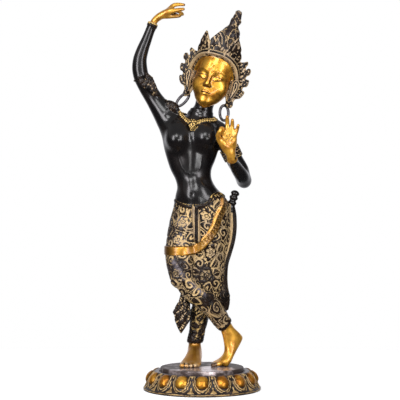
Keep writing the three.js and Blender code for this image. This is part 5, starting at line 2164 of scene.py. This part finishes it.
def antiqued():
    """Cream-gold rubbed into the low ground of black lacquered relief, and a grey-lilac sheen
    painted on the black in places.
    """
    f = Finish("antiqued_relief", Specular_IOR_Level=0.15)
    edge = f.math("ADD", f.attribute("cream"), f.math("ADD", f.swing(1.7, 0.4), f.swing(13, 0.9)))
    rubbed = f.span(edge, 0.36, 0.62)
    patch = f.span(f.noise(26, 4), 0.35, 0.7)
    stipple = f.span(f.noise(1.1, 2), 0.25, 0.5)
    pale = f.mix(patch, CREAM, colour(0.34, 0.26, 0.18))
    warm = f.mix(f.attribute("warm"), pale, colour(0.66, 0.45, 0.15))
    ground = f.mix(stipple, CREAM_DARK, warm)
    black = f.mix(f.span(f.noise(14, 3), 0.3, 0.6), BLACK, BROWN_BLACK)
    # Painted sheen: a grey-lilac colour laid on the black where the sheen mask is high
    grey_sheen = f.math("MULTIPLY", f.attribute("painted_sheen_and_satin"), f.span(f.noise(8, 3), 0.3, 0.6))
    dark = f.mix(grey_sheen, black, colour(0.13, 0.115, 0.13))
    f.set("Base Color", f.mix(rubbed, dark, ground))
    f.set("Metallic", f.math("MULTIPLY", rubbed, 0.45))
    f.set("Roughness", f.blend(rubbed, f.span(f.noise(13, 3), 0.3, 0.7, 0.2, 0.34), 0.5))
    pits = f.math("MULTIPLY", f.noise(1.1, 2), rubbed)
    f.set("Normal", f.bump(pits, 0.25, 0.5, f.bump(f.noise(5, 2), 0.1, 0.3)))
    return f.material


def steel():
    """The grey, darkly oxidised metal of the ear rings."""
    f = Finish("grey_metal", Metallic=1.0)
    blotch = f.span(f.noise(4, 4), 0.35, 0.7)
    f.set("Base Color", f.mix(blotch, colour(0.12, 0.113, 0.12), colour(0.03, 0.027, 0.03)))
    f.set("Roughness", f.span(f.noise(3, 3), 0.3, 0.7, 0.25, 0.42))
    f.set("Normal", f.bump(f.noise(1.2, 2), 0.05, 0.4))
    return f.material


def plate_bronze():
    """Dark bronze with fine turned rings and lighter grey-lilac places: rubbed patches at random,
    and a painted sheen that grows towards the front middle of the top.
    """
    f = Finish("dark_bronze", Specular_IOR_Level=0.3)
    away = f.node("ShaderNodeVectorMath", {0: f.place, 1: (0.012, -0.04, 0.05)},
                  operation="DISTANCE")
    blotch = f.noise(34, 4, 0.6)
    # Painted sheen: the lighter places grow towards the front middle of the plate's top
    near = f.span(away.outputs["Value"], 0.02, 0.07, 0.2, -0.16)
    rubbed = f.span(f.math("ADD", blotch, near), 0.33, 0.58)
    f.set("Base Color", f.mix(rubbed, colour(0.05, 0.034, 0.03), colour(0.62, 0.53, 0.53)))
    f.set("Metallic", f.blend(rubbed, 0.35, 0.8))
    f.set("Roughness", f.blend(rubbed, 0.5, f.span(f.noise(16, 4), 0.3, 0.7, 0.2, 0.32)))
    turning = f.node("ShaderNodeTexWave", {"Vector": f.place, "Scale": 260, "Distortion": 1.5,
                                           "Detail": 2.0}, wave_type="RINGS",
                     rings_direction="Z").outputs["Fac"]
    f.set("Normal", f.bump(turning, 0.03, 0.25, f.bump(f.noise(12, 3), 0.15, 0.35)))
    return f.material


def lotus_brass():
    """Gold domes and cream lines on the dark ground of the pedestal, with painted shade round the
    domes' edges.
    """
    f = Finish("lotus_brass", Specular_IOR_Level=0.25)
    grain = f.swing(2.2, 0.9)
    edge = f.math("ADD", f.attribute("cream"), f.math("ADD", grain, f.swing(9, 2.0)))
    cream = f.span(edge, 0.36, 0.66)
    gold = f.span(f.math("ADD", f.attribute("gold"), f.math("MULTIPLY", grain, 0.5)), 0.35, 0.65)
    ledge = f.attribute("ledge")
    patch = f.span(f.noise(18, 4), 0.4, 0.7)
    ground = f.mix(patch, colour(0.011, 0.008, 0.007), colour(0.035, 0.023, 0.019))
    dark = f.mix(ledge, ground, colour(0.10, 0.08, 0.086))
    lines = f.mix(f.span(f.noise(9, 3), 0.3, 0.6), colour(0.62, 0.44, 0.20), CREAM_DARK)
    lined = f.mix(cream, dark, lines)
    blotch = f.math("ADD", f.noise(9, 5, 0.6), f.span(f.noise(55, 2), 0.35, 0.65, -0.1, 0.16))
    dome = f.mix(f.span(blotch, 0.4, 0.68), colour(0.66, 0.33, 0.040), DEEP_GOLD)
    # Painted shade round each dome's edge
    shaded = f.mix(f.math("MULTIPLY", f.attribute("shade_and_patina"), 0.85), dome, GOLD_SHADE_AND_PATINA)
    f.set("Base Color", f.mix(gold, lined, shaded))
    f.set("Metallic", f.blend(gold, f.blend(cream, f.math("MULTIPLY", ledge, 0.6), 0.45), 0.75))
    shine = f.span(f.noise(8, 3), 0.3, 0.7, 0.3, 0.42)
    f.set("Roughness", f.blend(gold, f.blend(cream, 0.34, 0.5), shine))
    f.set("Normal", f.bump(f.noise(1.1, 3), 0.08, 0.4, f.bump(f.noise(6, 3), 0.2, 0.4)))
    return f.material


# Studio


# Level, and 3 m in front of the figure
CAMERA_PLACE = (-0.0045, -3.0, 0.422)
CAMERA_LENS = 120.9
SENSOR_WIDTH = 36


def add_camera():
    data = bpy.data.cameras.new("camera")
    data.sensor_width = SENSOR_WIDTH
    data.lens = CAMERA_LENS
    camera = bpy.data.objects.new("camera", data)
    camera.location = CAMERA_PLACE
    camera.rotation_euler = (math.radians(90), 0, 0)
    bpy.context.scene.collection.objects.link(camera)
    bpy.context.scene.camera = camera


def add_light(name, place, aim, size, power, tint=(1, 1, 1)):
    data = bpy.data.lights.new(name, "AREA")
    data.shape = "RECTANGLE"
    data.size, data.size_y = size
    data.energy = power
    data.color = tint
    light = bpy.data.objects.new(name, data)
    light.location = place
    light.rotation_euler = (Vector(aim) - Vector(place)).to_track_quat("-Z", "Y").to_euler()
    bpy.context.scene.collection.objects.link(light)


def add_world():
    """White where the camera sees it, and a soft backdrop, brighter behind the figure, for all
    else."""
    world = bpy.data.worlds.new("studio")
    world.use_nodes = True
    tree = world.node_tree
    white = tree.nodes["Background"]
    white.inputs["Color"].default_value = colour(1.0, 1.0, 1.0)
    heading = tree.nodes.new("ShaderNodeSeparateXYZ")
    tree.links.new(tree.nodes.new("ShaderNodeTexCoord").outputs["Generated"], heading.inputs[0])
    backdrop = tree.nodes.new("ShaderNodeMapRange")
    spans = {"From Min": 0.45, "From Max": 0.95, "To Min": 0.07, "To Max": 1.0}
    for socket, value in spans.items():
        backdrop.inputs[socket].default_value = value
    tree.links.new(heading.outputs["Y"], backdrop.inputs["Value"])
    dim = tree.nodes.new("ShaderNodeBackground")
    dim.inputs["Color"].default_value = colour(0.95, 0.95, 1.0)
    tree.links.new(backdrop.outputs["Result"], dim.inputs["Strength"])
    seen = tree.nodes.new("ShaderNodeLightPath").outputs["Is Camera Ray"]
    either = tree.nodes.new("ShaderNodeMixShader")
    for i, source in enumerate((seen, dim.outputs[0], white.outputs[0])):
        tree.links.new(source, either.inputs[i])
    tree.links.new(either.outputs[0], tree.nodes["World Output"].inputs["Surface"])
    bpy.context.scene.world = world
    bpy.context.scene.view_settings.view_transform = "Standard"


def add_lights():
    middle = (0, 0, 0.45)
    add_light("left", (-1.6, -2.05, 1.0), middle, (0.8, 1.8), 48, (1.0, 0.97, 1.0))
    add_light("right", (1.5, -2.1, 0.9), middle, (0.65, 1.8), 34, (1.0, 0.97, 1.0))
    add_light("front", (-0.3, -2.6, 2.0), (0, 0, 0.6), (1.1, 1.1), 32)
    add_light("low", (0.7, -2.4, 0.1), (0.05, 0, 0.12), (0.7, 0.4), 10)
    sun = bpy.data.lights.new("sky", "SUN")
    sun.energy = 0.8
    sun.angle = math.radians(140)
    sky = bpy.data.objects.new("sky", sun)
    sky.rotation_euler = (math.radians(25), math.radians(-10), 0)
    bpy.context.scene.collection.objects.link(sky)


def add_floor():
    mesh = bpy.data.meshes.new("floor")
    steps, half = 12, 0.8
    marks = np.linspace(-half, half, steps + 1)
    points = [(x, y, -0.0005) for y in marks for x in marks]
    row = steps + 1
    faces = [(i * row + j, i * row + j + 1, (i + 1) * row + j + 1, (i + 1) * row + j)
             for i in range(steps) for j in range(steps)]
    mesh.from_pydata(points, [], faces)
    f = Finish("pale_floor", Roughness=0.9, Specular_IOR_Level=0.0, Emission_Strength=0.45,
               Emission_Color=colour(1.0, 1.0, 1.0))
    f.set("Base Color", f.mix(f.noise(400, 2), colour(0.9, 0.9, 0.9), colour(0.93, 0.93, 0.93)))
    mesh.materials.append(f.material)
    floor = bpy.data.objects.new("floor", mesh)
    bpy.context.scene.collection.objects.link(floor)
    floor.visible_glossy = False


add_camera()
add_world()
add_lights()
add_floor()
build_figure()
build_pedestal()
build_plate()
